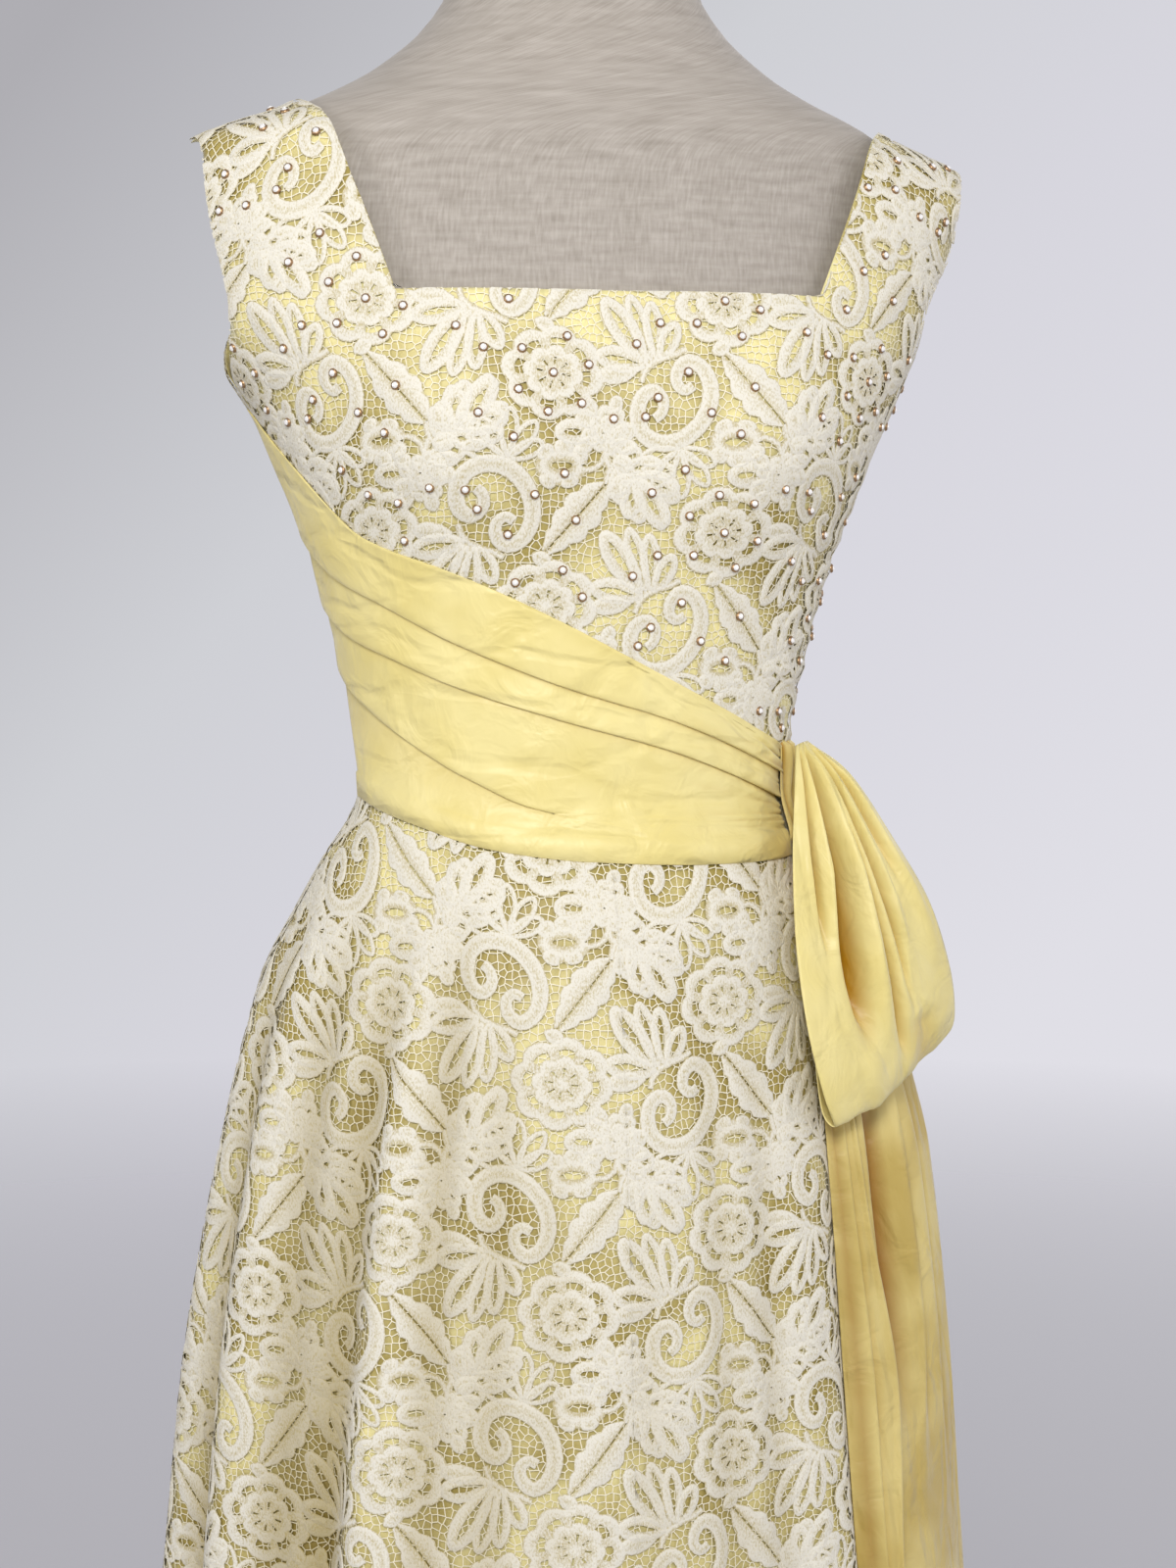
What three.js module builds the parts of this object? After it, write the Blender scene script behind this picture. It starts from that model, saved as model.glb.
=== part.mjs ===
// A sleeveless gown of cream lace over yellow satin, with a pleated satin sash and a hanging side bow,
// worn by a limbless dress form on a pole and a round base.
// Millimetres, +Z up. The wearer faces -Y, so +X is the wearer's left. The origin is the middle of the
// base's underside.
import * as THREE from "three";

// ---------- Driving dimensions ----------
const SATIN_THICKNESS = 1.0;
const LACE_THICKNESS = 1.0;
const SASH_THICKNESS = 1.2;
const SEAM_GAP = 0.3; // between pieces that are sewn together
const WAIST_SEAM_GAP = 0.8; // at the panels' corners, which leaves about 0.3 where their edges bow
const LAYER_GAP = 0.4; // between the satin and the lace that lies on it
const SASH_CLEARANCE = 1.8; // between the lace and the sash that is wound over it
const SHOULDER_EASE = 1; // the straps rest on the form's shoulders
const BODICE_EASE = 2.5; // everywhere else the bodice stands this far off the form
const SHOULDER_REST_Z = 1376; // above this height the bodice has the shoulder ease
const EASE_BLEND = 40;

const HEM_Z = 40;
const SATIN_HEM_RISE = 12; // the underskirt is this much shorter than the lace
const UNDERARM_Z = 1262;
const FRONT_NECK_Z = 1305;
const BACK_NECK_Z = 1330;
// Where each armhole edge crosses its neckline's height, counted from the centre front or centre back.
const FRONT_ARMHOLE = { right: 76, left: 76 };
const BACK_ARMHOLE = { right: 68, left: 68 };
// The straps' two edges at the shoulder seam.
const STRAPS = { right: { inner: 146, outer: 193 }, left: { inner: 164, outer: 205 } };

const FORM_BOTTOM_Z = 780;
const FORM_TOP_Z = 1530;
const CAP_THICKNESS = 9;
const CAP_OVERHANG = 3;
const BASE_RADIUS = 200;
const BASE_THICKNESS = 11;
const HUB_RADIUS = 30;
const HUB_TOP_Z = 34;
const POLE_RADIUS = 14;
const FLANGE_RADIUS = 55;
const FLANGE_THICKNESS = 8;

const SIDE_SEAM_ANGLE = 90;
const BUST = { apart: 82, height: 1232, rise: 15, widthX: 46, widthZ: 48 };

// The body: half widths and depths of its level sections, and how square each one is. The gown's
// shoulders reach past the form's, further on the left, where the strap has slipped, so the gown's half
// width is given for the wearer's right and left and the form has one of its own.
const BODY = [
  { z: 780, right: 146, left: 146, form: 144, front: 95, back: 108, square: 2.15 },
  { z: 840, right: 154, left: 154, form: 148, front: 101, back: 118, square: 2.15 },
  { z: 900, right: 155, left: 155, form: 148, front: 103, back: 121, square: 2.15 },
  { z: 960, right: 143, left: 143, form: 138, front: 100, back: 111, square: 2.15 },
  { z: 1005, right: 125, left: 125, form: 122, front: 94, back: 94, square: 2.15 },
  { z: 1036, right: 113, left: 113, form: 113, front: 88, back: 80, square: 2.2 },
  { z: 1060, right: 107, left: 107, form: 107, front: 83, back: 73, square: 2.2 },
  { z: 1090, right: 109, left: 109, form: 109, front: 85, back: 75, square: 2.2 },
  { z: 1125, right: 116, left: 116, form: 116, front: 89, back: 78, square: 2.2 },
  { z: 1160, right: 125, left: 125, form: 125, front: 94, back: 82, square: 2.2 },
  { z: 1195, right: 136, left: 137, form: 135, front: 100, back: 87, square: 2.25 },
  { z: 1225, right: 149, left: 149, form: 146, front: 105, back: 91, square: 2.3 },
  { z: 1250, right: 160, left: 160, form: 154, front: 107, back: 94, square: 2.3 },
  { z: 1275, right: 175, left: 171, form: 159, front: 105, back: 96, square: 2.3 },
  { z: 1300, right: 188, left: 182, form: 162, front: 101, back: 97, square: 2.3 },
  { z: 1340, right: 197, left: 199, form: 167, front: 93, back: 95, square: 2.2 },
  { z: 1362, right: 200, left: 210, form: 171, front: 85, back: 91, square: 2.1 },
  { z: 1374, right: 200, left: 204, form: 172, front: 80, back: 87, square: 2.1 },
  { z: 1383, right: 193, left: 186, form: 170, front: 76, back: 84, square: 2.1 },
  { z: 1390, right: 176, left: 168, form: 164, front: 73, back: 82, square: 2.1 },
  { z: 1396, right: 156, left: 156, form: 155, front: 71, back: 80, square: 2.1 },
  { z: 1402, right: 143, left: 143, form: 143, front: 69, back: 78, square: 2.1 },
  { z: 1410, right: 125, left: 125, form: 125, front: 66, back: 75, square: 2.1 },
  { z: 1422, right: 103, left: 103, form: 103, front: 63, back: 71, square: 2.1 },
  { z: 1446, right: 75, left: 75, form: 75, front: 60, back: 66, square: 2.05 },
  { z: 1465, right: 64, left: 64, form: 64, front: 58, back: 61, square: 2 },
  { z: 1530, right: 57, left: 57, form: 57, front: 55, back: 55, square: 2 },
];
const FORM_LEVELS = [
  780, 800, 840, 880, 920, 960, 990, 1015, 1036, 1060, 1085, 1110, 1140, 1170, 1200, 1225, 1250, 1275, 1300,
  1325, 1345, 1362, 1374, 1383, 1388, 1392, 1396, 1399, 1402, 1406, 1411, 1417, 1424, 1434, 1446, 1462, 1490,
  1530,
];
const FORM_COLUMNS = 48;

// The waist seam, which is also the sash's lower edge: its height round the body.
// Angles count from the centre front towards the wearer's left, in degrees.
const WAIST = [
  { angle: -180, z: 1050 },
  { angle: -135, z: 1056 },
  { angle: -90, z: 1058 },
  { angle: -60, z: 1049 },
  { angle: -36, z: 1038 },
  { angle: -8, z: 1032 },
  { angle: 50, z: 1028 },
  { angle: 90, z: 1034 },
  { angle: 135, z: 1043 },
  { angle: 180, z: 1050 },
];

// The skirt's mean radius, in eight directions, at each level below the waist.
const SKIRT = [
  { z: 1040, front: 96, frontL: 106, left: 121, backL: 102, back: 88, backR: 102, right: 121, frontR: 106 },
  { z: 1000, front: 107, frontL: 118, left: 141, backL: 124, back: 110, backR: 126, right: 143, frontR: 119 },
  { z: 960, front: 115, frontL: 124, left: 155, backL: 146, back: 134, backR: 149, right: 163, frontR: 131 },
  { z: 880, front: 129, frontL: 137, left: 170, backL: 168, back: 160, backR: 172, right: 183, frontR: 149 },
  { z: 760, front: 143, frontL: 148, left: 187, backL: 190, back: 192, backR: 198, right: 203, frontR: 166 },
  { z: 650, front: 155, frontL: 159, left: 198, backL: 208, back: 215, backR: 216, right: 213, frontR: 180 },
  { z: 400, front: 190, frontL: 196, left: 230, backL: 248, back: 260, backR: 254, right: 244, frontR: 213 },
  { z: 40, front: 245, frontL: 252, left: 283, backL: 303, back: 316, backR: 308, right: 296, frontR: 261 },
];
const SKIRT_DIRECTIONS = ["front", "frontL", "left", "backL", "back", "backR", "right", "frontR"];
const SKIRT_LEVELS = [0, 0.035, 0.1, 0.21, 0.4, 0.68, 1]; // shares of the way from the waist seam to the hem
const SKIRT_TAKES_OVER = 32; // drop below the waist seam in which this table replaces the body's

// The skirt's folds: a ridge stands out at the hem and a valley goes in, and each fades out at its top.
const FOLDS = [
  { angle: -172, out: 12, top: 1000 },
  { angle: -162, out: -12, top: 970 },
  { angle: -151, out: 13, top: 990 },
  { angle: -141, out: -14, top: 985 },
  { angle: -131, out: 12, top: 1000 },
  { angle: -120, out: -13, top: 950 },
  { angle: -111, out: 12, top: 975 },
  { angle: -100, out: -13, top: 960 },
  { angle: -90, out: 11, top: 985 },
  { angle: -81, out: -11, top: 930 },
  { angle: -72, out: 12, top: 900 },
  { angle: -59, out: -17, top: 930 },
  { angle: -48, out: 12, top: 960 },
  { angle: -31, out: -4, top: 900 },
  { angle: -10, out: 4, top: 850 },
  { angle: 14, out: -3, top: 850 },
  { angle: 34, out: -1, top: 900 },
  { angle: 46, out: 15, top: 1005 },
  { angle: 57, out: -17, top: 1005 },
  { angle: 72, out: 9, top: 960 },
  { angle: 81, out: -11, top: 940 },
  { angle: 91, out: 11, top: 985 },
  { angle: 101, out: -13, top: 950 },
  { angle: 112, out: 13, top: 980 },
  { angle: 122, out: -12, top: 960 },
  { angle: 132, out: 12, top: 1000 },
  { angle: 143, out: -14, top: 980 },
  { angle: 153, out: 12, top: 985 },
  { angle: 163, out: -11, top: 960 },
  { angle: 173, out: 12, top: 1000 },
];
const FOLD_GROWTH = 0.75; // a fold deepens with this power of the way down from its top

// The sash's upper edge and the folded lower edges of its pleats, from the wearer's right side seam to
// the gather. Each pleat stands proud of the one under it.
const SASH_LINES = [
  { angle: -90, upper: 1254, first: 1187, second: 1153, third: 1118 },
  { angle: -76, upper: 1223, first: 1169, second: 1139, third: 1105 },
  { angle: -62, upper: 1189, first: 1156, second: 1129, third: 1090 },
  { angle: -44, upper: 1173, first: 1137, second: 1115, third: 1071 },
  { angle: -17, upper: 1149, first: 1117, second: 1100, third: 1052 },
  { angle: 21, upper: 1117, first: 1098, second: 1083, third: 1046 },
  { angle: 63, upper: 1082, first: 1069, second: 1056, third: 1043 },
];
const PLEAT_PROUD = 3.2; // how far a pleat's fold stands out over the cloth under it
const PLEAT_DROP = 2.5; // height over which the surface falls back under the fold
const SASH_END_ANGLE = 63;
const SASH_TURN = 9; // degrees between the sash's and the bodice's columns
const SASH_BACK_HEIGHT = 50;
const GATHER = { from: 63.2, to: 71.8, bottom: 1032, top: 1085, proud: 5, flutes: 5, fluteDepth: 1.4 };
const SASH_BACK_START = 72;

// The bow's loop: stations down its front, round the bottom and up behind, each with the place of the
// band's edge next to the skirt's front and of its far edge.
const LOOP = [
  { name: "top, front", near: [106.5, -56, 1083], far: [115.9, -41, 1084] },
  { name: "shoulder", near: [100, -74, 1060], far: [134, -56, 1068] },
  { name: "upper front", near: [94, -90, 1026], far: [157, -56, 1034] },
  { name: "middle front", near: [92, -102, 985], far: [177, -55, 1001] },
  { name: "lower front", near: [95, -113, 946], far: [190, -51, 966] },
  { name: "above the turn", near: [103, -114, 914], far: [195, -46, 941] },
  { name: "bottom", near: [111, -107, 896], far: [196, -35, 929] },
  { name: "behind the turn", near: [106, -100, 903], far: [193, -24, 937] },
  { name: "lower back", near: [102, -97, 940], far: [184, -28, 972] },
  { name: "middle back", near: [99, -91, 985], far: [163, -36, 1008] },
  { name: "upper back", near: [98, -76, 1030], far: [136, -43, 1044] },
  { name: "top, back", near: [105, -54, 1062], far: [112.5, -40, 1064] },
];
const LOOP_STEPS = 18;
const LOOP_FOLDS = [
  { at: 0, out: 0 },
  { at: 0.16, out: 2 },
  { at: 0.32, out: -4 },
  { at: 0.44, out: 2 },
  { at: 0.56, out: -5 },
  { at: 0.7, out: 2 },
  { at: 0.82, out: -3 },
  { at: 1, out: 0 },
];

// The two long ends: the angles between which each lies on the skirt, and how far its two edges stand
// off the skirt's mean surface, at each level.
const TAILS = {
  sash_tail_front: {
    ridges: 2,
    depth: 3,
    stations: [
      { z: 1046, from: 64.4, to: 70.4, nearProud: 11, farProud: 11 },
      { z: 1026, from: 62.5, to: 69.5, nearProud: 9.5, farProud: 10 },
      { z: 1000, from: 57, to: 66, nearProud: 4, farProud: 6 },
      { z: 930, from: 51.5, to: 58.5, nearProud: 4, farProud: 5 },
      { z: 860, from: 49.5, to: 57, nearProud: 6, farProud: 9 },
      { z: 760, from: 49.5, to: 60.5, nearProud: 6.5, farProud: 11 },
      { z: 650, from: 49.5, to: 57, nearProud: 7.5, farProud: 12 },
      { z: 450, from: 49.5, to: 56.5, nearProud: 9, farProud: 13 },
      { z: 250, from: 49.5, to: 56.5, nearProud: 10.5, farProud: 14 },
    ],
  },
  sash_tail_rear: {
    ridges: 3,
    depth: 4,
    stations: [
      { z: 1041, from: 72.7, to: 79, nearProud: 6, farProud: 5.6 },
      { z: 1000, from: 67.5, to: 84, nearProud: 7, farProud: 14 },
      { z: 930, from: 59.5, to: 93, nearProud: 3.6, farProud: 16 },
      { z: 860, from: 58, to: 97, nearProud: 8, farProud: 24 },
      { z: 760, from: 61.5, to: 97, nearProud: 8, farProud: 22 },
      { z: 650, from: 58, to: 97, nearProud: 8, farProud: 20 },
      { z: 450, from: 57.5, to: 96, nearProud: 9, farProud: 18 },
      { z: 190, from: 57.5, to: 94, nearProud: 9, farProud: 16 },
    ],
  },
};
const TAIL_COLUMNS = 6;
const TAIL_ROWS = 10;
const TAIL_ROW_GROWTH = 1.3; // its rows lie closer together near the bow
const TAIL_FOLDS_START = 10; // the folds come in between these drops from the bow
const TAIL_FOLDS_FULL = 120;

// ---------- Curves through tables ----------
const radians = THREE.MathUtils.degToRad;
const mix = THREE.MathUtils.lerp;

// A smooth curve through points with rising x that never overshoots them.
function curveThrough(xs, ys) {
  const steps = xs.slice(1).map((x, i) => (ys[i + 1] - ys[i]) / (x - xs[i]));
  const slopes = xs.map((_, i) => {
    const before = steps[Math.max(i - 1, 0)];
    const after = steps[Math.min(i, steps.length - 1)];
    return before * after <= 0 ? 0 : (2 * before * after) / (before + after);
  });
  return (x) => {
    if (x <= xs[0]) return ys[0];
    if (x >= xs[xs.length - 1]) return ys[ys.length - 1];
    const i = xs.findIndex((value) => value > x) - 1;
    const span = xs[i + 1] - xs[i];
    const t = (x - xs[i]) / span;
    const rise = t * t * (3 - 2 * t);
    const lean = slopes[i] * t * (1 - t) * (1 - t) - slopes[i + 1] * t * t * (1 - t);
    return ys[i] + (ys[i + 1] - ys[i]) * rise + span * lean;
  };
}

// The same, for two named columns of a table, whichever way its rows run.
function columnCurve(rows, xName, yName) {
  const sorted = [...rows].sort((a, b) => a[xName] - b[xName]);
  return curveThrough(
    sorted.map((row) => row[xName]),
    sorted.map((row) => row[yName]),
  );
}

// An angle brought to the range from -180 to 180.
function wrapped(angle) {
  return THREE.MathUtils.euclideanModulo(angle + 180, 360) - 180;
}

// ---------- The body ----------
const bodyCurve = Object.fromEntries(
  ["right", "left", "form", "front", "back", "square"].map((name) => [name, columnCurve(BODY, "z", name)]),
);
const BUST_BLEND = 40; // the bust rises fully this far in front of the side line
const REACH = 420; // further than any point of the body from a ray's start
const REACH_STEP = 4;

// The wearer's side that a place with this x is on.
function sideOf(x) {
  return x < 0 ? "right" : "left";
}

// Under 1 inside the body and over 1 outside it, for the gown or for the bare form.
function bodyLevel(point, bare) {
  const { x, y, z } = point;
  const square = bodyCurve.square(z);
  const across = Math.abs(x) / bodyCurve[bare ? "form" : sideOf(x)](z);
  if (y >= 0) return across ** square + (y / bodyCurve.back(z)) ** square;
  const apart = (Math.abs(x) - BUST.apart) / BUST.widthX;
  const above = (z - BUST.height) / BUST.widthZ;
  const rise = BUST.rise * Math.exp(-apart * apart - above * above) * Math.min(1, -y / BUST_BLEND);
  return across ** square + (Math.max(0, -y - rise) / bodyCurve.front(z)) ** square;
}

// The outermost point of the body on a ray.
function meetBody(origin, direction, bare = false) {
  const at = (distance) => origin.clone().addScaledVector(direction, distance);
  let outside = REACH;
  while (outside > REACH_STEP && bodyLevel(at(outside - REACH_STEP), bare) >= 1) outside -= REACH_STEP;
  let inside = outside - REACH_STEP;
  for (let i = 0; i < 24; i++) {
    const middle = (inside + outside) / 2;
    if (bodyLevel(at(middle), bare) < 1) inside = middle;
    else outside = middle;
  }
  return at(outside);
}

// A level direction, at an angle from the centre front towards the wearer's left.
function heading(angle) {
  return new THREE.Vector3(Math.sin(radians(angle)), -Math.cos(radians(angle)), 0);
}

function bodyPoint(angle, z, bare = false) {
  return meetBody(new THREE.Vector3(0, 0, z), heading(angle), bare);
}

// The way out of the body. Below the armholes it is level, so that layers keep their heights at seams.
function bodyNormal(point) {
  const step = 0.5;
  const slope = (axis) => {
    const more = point.clone();
    const less = point.clone();
    more[axis] += step;
    less[axis] -= step;
    return bodyLevel(more, false) - bodyLevel(less, false);
  };
  const upright = THREE.MathUtils.smoothstep(point.z, UNDERARM_Z - EASE_BLEND, FRONT_NECK_Z);
  return new THREE.Vector3(slope("x"), slope("y"), slope("z") * upright).normalize();
}

const waistHeight = columnCurve(WAIST, "angle", "z");

// ---------- Sheets of cloth ----------
// A sheet is a set of points with their normals, and triangles between them.
class Sheet {
  constructor() {
    this.points = [];
    this.normals = [];
    this.triangles = [];
  }

  add(point, normal) {
    this.points.push(point);
    this.normals.push(normal);
    return this.points.length - 1;
  }

  // Rows of point numbers, each as long as the next, are filled with triangles that face as the normals do.
  fill(rows) {
    const made = [];
    for (let r = 0; r + 1 < rows.length; r++) {
      for (let c = 0; c + 1 < rows[r].length; c++) {
        const [a, b] = [rows[r][c], rows[r][c + 1]];
        const [d, e] = [rows[r + 1][c], rows[r + 1][c + 1]];
        made.push([a, b, e], [a, e, d]);
      }
    }
    const facing = made.reduce((sum, triangle) => sum + this.facing(triangle), 0);
    this.triangles.push(...(facing > 0 ? made : made.map(([a, b, c]) => [a, c, b])));
  }

  facing([a, b, c]) {
    const across = this.points[b].clone().sub(this.points[a]);
    const up = this.points[c].clone().sub(this.points[a]);
    return across.cross(up).dot(this.normals[a]);
  }
}

// A closed wall between two distances from a sheet, each a number or a function of the point.
function wall(sheet, inner, outer) {
  const distance = (value, point) => (typeof value === "function" ? value(point) : value);
  const skin = (value) =>
    sheet.points.flatMap((point, i) =>
      point.clone().addScaledVector(sheet.normals[i], distance(value, point)).toArray(),
    );
  const count = sheet.points.length;
  const index = [];
  const edges = new Map();
  for (const [a, b, c] of sheet.triangles) {
    index.push(a, b, c, c + count, b + count, a + count);
    for (const [from, to] of [[a, b], [b, c], [c, a]]) {
      if (!edges.delete(to + "_" + from)) edges.set(from + "_" + to, [from, to]);
    }
  }
  for (const [from, to] of edges.values()) {
    index.push(to, from, from + count, to, from + count, to + count);
  }
  return meshGeometry([...skin(outer), ...skin(inner)], index);
}

function meshGeometry(positions, index) {
  const geometry = new THREE.BufferGeometry();
  geometry.setAttribute("position", new THREE.Float32BufferAttribute(positions, 3));
  geometry.setIndex(index);
  geometry.computeVertexNormals();
  return geometry;
}

// A sheet through a grid of points, with normals on the side that the first triangle faces or the other.
function gridSheet(grid, side = 1) {
  const sheet = new Sheet();
  const last = grid.length - 1;
  const numbers = grid.map((row, r) =>
    row.map((point, c) => {
      const along = grid[Math.min(r + 1, last)][c].clone().sub(grid[Math.max(r - 1, 0)][c]);
      const across = row[Math.min(c + 1, row.length - 1)].clone().sub(row[Math.max(c - 1, 0)]);
      return sheet.add(point, across.cross(along).normalize().multiplyScalar(side));
    }),
  );
  sheet.fill(numbers);
  return sheet;
}

// A solid through closed level rings, from the lowest to the highest, with flat ends.
function ringSolid(rings) {
  const columns = rings[0].length;
  const points = rings.flat();
  const index = [];
  for (let r = 0; r + 1 < rings.length; r++) {
    for (let c = 0; c < columns; c++) {
      const next = (c + 1) % columns;
      const [a, b] = [r * columns + c, r * columns + next];
      index.push(a, b, b + columns, a, b + columns, a + columns);
    }
  }
  const topStart = (rings.length - 1) * columns;
  const bottomMiddle = points.length;
  const topMiddle = points.length + 1;
  const middles = [rings[0], rings.at(-1)].map((ring) => new THREE.Vector3(0, 0, ring[0].z));
  for (let c = 0; c < columns; c++) {
    const next = (c + 1) % columns;
    index.push(bottomMiddle, next, c, topMiddle, topStart + c, topStart + next);
  }
  return meshGeometry([...points, ...middles].flatMap((point) => point.toArray()), index);
}

// ---------- The bodice ----------
// How far the satin stands off the body: close on the shoulders, looser below.
function bodiceEase(point) {
  const share = THREE.MathUtils.smoothstep(point.z, SHOULDER_REST_Z - EASE_BLEND, SHOULDER_REST_Z);
  return mix(BODICE_EASE, SHOULDER_EASE, share);
}
const SATIN_OUTER = (point) => bodiceEase(point) + SATIN_THICKNESS;
const LACE_INNER = (point) => SATIN_OUTER(point) + LAYER_GAP;
const LACE_OUTER = (point) => LACE_INNER(point) + LACE_THICKNESS;

// Half of a seam's gap, as an angle at this distance from the middle.
function halfGapAngle(radius) {
  return THREE.MathUtils.radToDeg(SEAM_GAP / 2 / radius);
}

// Shares of the way from the waist to the underarm, and from there to the neckline.
const BODICE_LEVELS = [0, 0.09, 0.2, 0.36, 0.54, 0.71, 0.86, 1];
const ARMHOLE_LEVELS = [0.25, 0.6, 1];
const STRAP_ROWS = 8;
const BACK_STRAP_ROWS = 6;

// The angle of a panel's side at a height: the side seam, and above the underarm the armhole's edge.
function sideAngle(z, neckZ, armholeAngle) {
  const climb = THREE.MathUtils.clamp((z - UNDERARM_Z) / (neckZ - UNDERARM_Z), 0, 1);
  const turn = 1 - (1 - climb) * (1 - climb);
  return mix(SIDE_SEAM_ANGLE - halfGapAngle(bodyCurve.form(z)), armholeAngle, turn);
}

// A bodice panel. Its columns are shares of the angle from its middle line to its side, and the columns
// named in a strap go on over the shoulder. The middle line is the centre front or the centre back.
function bodicePanel({ middle, shares, straps, neckZ, armhole, facing, rows }) {
  const sheet = new Sheet();
  const addBody = (point) => sheet.add(point, bodyNormal(point));
  const row = (height) =>
    shares.map((share) => {
      const atSide = middle + share * SIDE_SEAM_ANGLE;
      const armholeAngle = armhole[sideOf(heading(atSide).x)];
      const angle = middle + share * sideAngle(height(atSide), neckZ, armholeAngle);
      return addBody(bodyPoint(angle, height(angle)));
    });
  const body = [
    ...BODICE_LEVELS.map((level) =>
      row((angle) => mix(waistHeight(wrapped(angle)) + WAIST_SEAM_GAP, UNDERARM_Z, level)),
    ),
    ...ARMHOLE_LEVELS.map((level) => row(() => mix(UNDERARM_Z, neckZ, level))),
  ];
  sheet.fill(body);
  const neckRow = body[body.length - 1];
  for (const strap of straps) {
    const base = strap.map((c) => neckRow[c]);
    const strapRows = [base];
    for (let r = 1; r <= rows; r++) {
      const climb = r / rows;
      const turn = radians(90 * climb);
      strapRows.push(
        base.map((number, c) => {
          const from = sheet.points[number].x;
          const { inner, outer } = STRAPS[sideOf(from)];
          const to = Math.sign(from) * mix(inner, outer, c / (base.length - 1));
          const x = mix(from, to, climb);
          const origin = new THREE.Vector3(x, (facing * SEAM_GAP) / 2, neckZ);
          const direction = new THREE.Vector3(0, facing * Math.cos(turn), Math.sin(turn));
          return addBody(meetBody(origin, direction));
        }),
      );
    }
    sheet.fill(strapRows);
  }
  return sheet;
}

// The neckline's corners, as shares of the way from the centre to the armhole.
const FRONT_CORNER_SHARE = 0.65;
const FRONT_NECK_COLUMNS = 12;
const STRAP_COLUMNS = 3;
const BACK_CORNER_SHARE = 0.68;
const BACK_NECK_COLUMNS = 4;

const numbersTo = (count) => Array.from({ length: count + 1 }, (_, i) => i);
const strapShares = (corner) => numbersTo(STRAP_COLUMNS).map((i) => mix(corner, 1, i / STRAP_COLUMNS));

function bodiceFront() {
  const neck = numbersTo(FRONT_NECK_COLUMNS).map((i) =>
    mix(-FRONT_CORNER_SHARE, FRONT_CORNER_SHARE, i / FRONT_NECK_COLUMNS),
  );
  const strap = strapShares(FRONT_CORNER_SHARE).slice(1);
  const shares = [...strap.map((share) => -share).reverse(), ...neck, ...strap];
  const last = shares.length - 1;
  const rightStrap = numbersTo(STRAP_COLUMNS).map((i) => STRAP_COLUMNS - i);
  return bodicePanel({
    middle: 0,
    shares,
    straps: [rightStrap, rightStrap.map((c) => last - c)],
    neckZ: FRONT_NECK_Z,
    armhole: FRONT_ARMHOLE,
    facing: -1,
    rows: STRAP_ROWS,
  });
}

// side is 1 for the wearer's left back and -1 for the right.
function bodiceBack(side) {
  const seam = -halfGapAngle(bodyCurve.back(UNDERARM_Z)) / SIDE_SEAM_ANGLE;
  const neck = numbersTo(BACK_NECK_COLUMNS).map((i) =>
    mix(seam, -BACK_CORNER_SHARE, i / BACK_NECK_COLUMNS),
  );
  const strap = strapShares(BACK_CORNER_SHARE).slice(1);
  const shares = [...neck, ...strap.map((share) => -share)].map((share) => share * side);
  return bodicePanel({
    middle: 180,
    shares,
    straps: [numbersTo(STRAP_COLUMNS).map((i) => BACK_NECK_COLUMNS + i)],
    neckZ: BACK_NECK_Z,
    armhole: BACK_ARMHOLE,
    facing: 1,
    rows: BACK_STRAP_ROWS,
  });
}

// ---------- The skirt ----------
const SKIRT_SEAM_OFFSET = BODICE_EASE + SATIN_THICKNESS + LAYER_GAP / 2;
const skirtCurves = SKIRT_DIRECTIONS.map((name) => columnCurve(SKIRT, "z", name));

// The mean radius between the eight directions of the table, on a smooth curve through them.
function meanSkirtRadius(angle, z) {
  const sector = 360 / SKIRT_DIRECTIONS.length;
  const place = THREE.MathUtils.euclideanModulo(angle, 360) / sector;
  const i = Math.floor(place);
  const t = place - i;
  const radius = (k) => skirtCurves[(i + k + skirtCurves.length) % skirtCurves.length](z);
  const [before, from, to, after] = [radius(-1), radius(0), radius(1), radius(2)];
  const linear = (to - before) / 2;
  const square = before - (5 * from) / 2 + 2 * to - after / 2;
  const cubic = (3 * (from - to) + after - before) / 2;
  return from + t * linear + t * t * square + t * t * t * cubic;
}

function foldDepth(fold, z) {
  const drop = Math.max(0, (fold.top - z) / (fold.top - HEM_Z));
  return fold.out * drop ** FOLD_GROWTH;
}

// How far the folds put the cloth out or in at a place on the skirt.
function foldOut(angle, z) {
  const place = wrapped(angle);
  const next = FOLDS.findIndex((fold) => fold.angle > place);
  const after = FOLDS[Math.max(next, 0)];
  const before = FOLDS.at(next < 1 ? -1 : next - 1);
  const span = THREE.MathUtils.euclideanModulo(after.angle - before.angle, 360);
  const t = THREE.MathUtils.euclideanModulo(place - before.angle, 360) / span;
  return mix(foldDepth(before, z), foldDepth(after, z), (1 - Math.cos(Math.PI * t)) / 2);
}

function skirtRadius(angle, z, folded = 1) {
  const share = THREE.MathUtils.smoothstep((waistHeight(wrapped(angle)) - z) / SKIRT_TAKES_OVER, 0, 1);
  const atBody = Math.hypot(...bodyPoint(angle, z).toArray().slice(0, 2)) + SKIRT_SEAM_OFFSET;
  return mix(atBody, meanSkirtRadius(angle, z), share) + share * folded * foldOut(angle, z);
}

function onSkirt(angle, z, out = 0, folded = 1) {
  return heading(angle).multiplyScalar(skirtRadius(angle, z, folded) + out).setZ(z);
}

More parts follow.
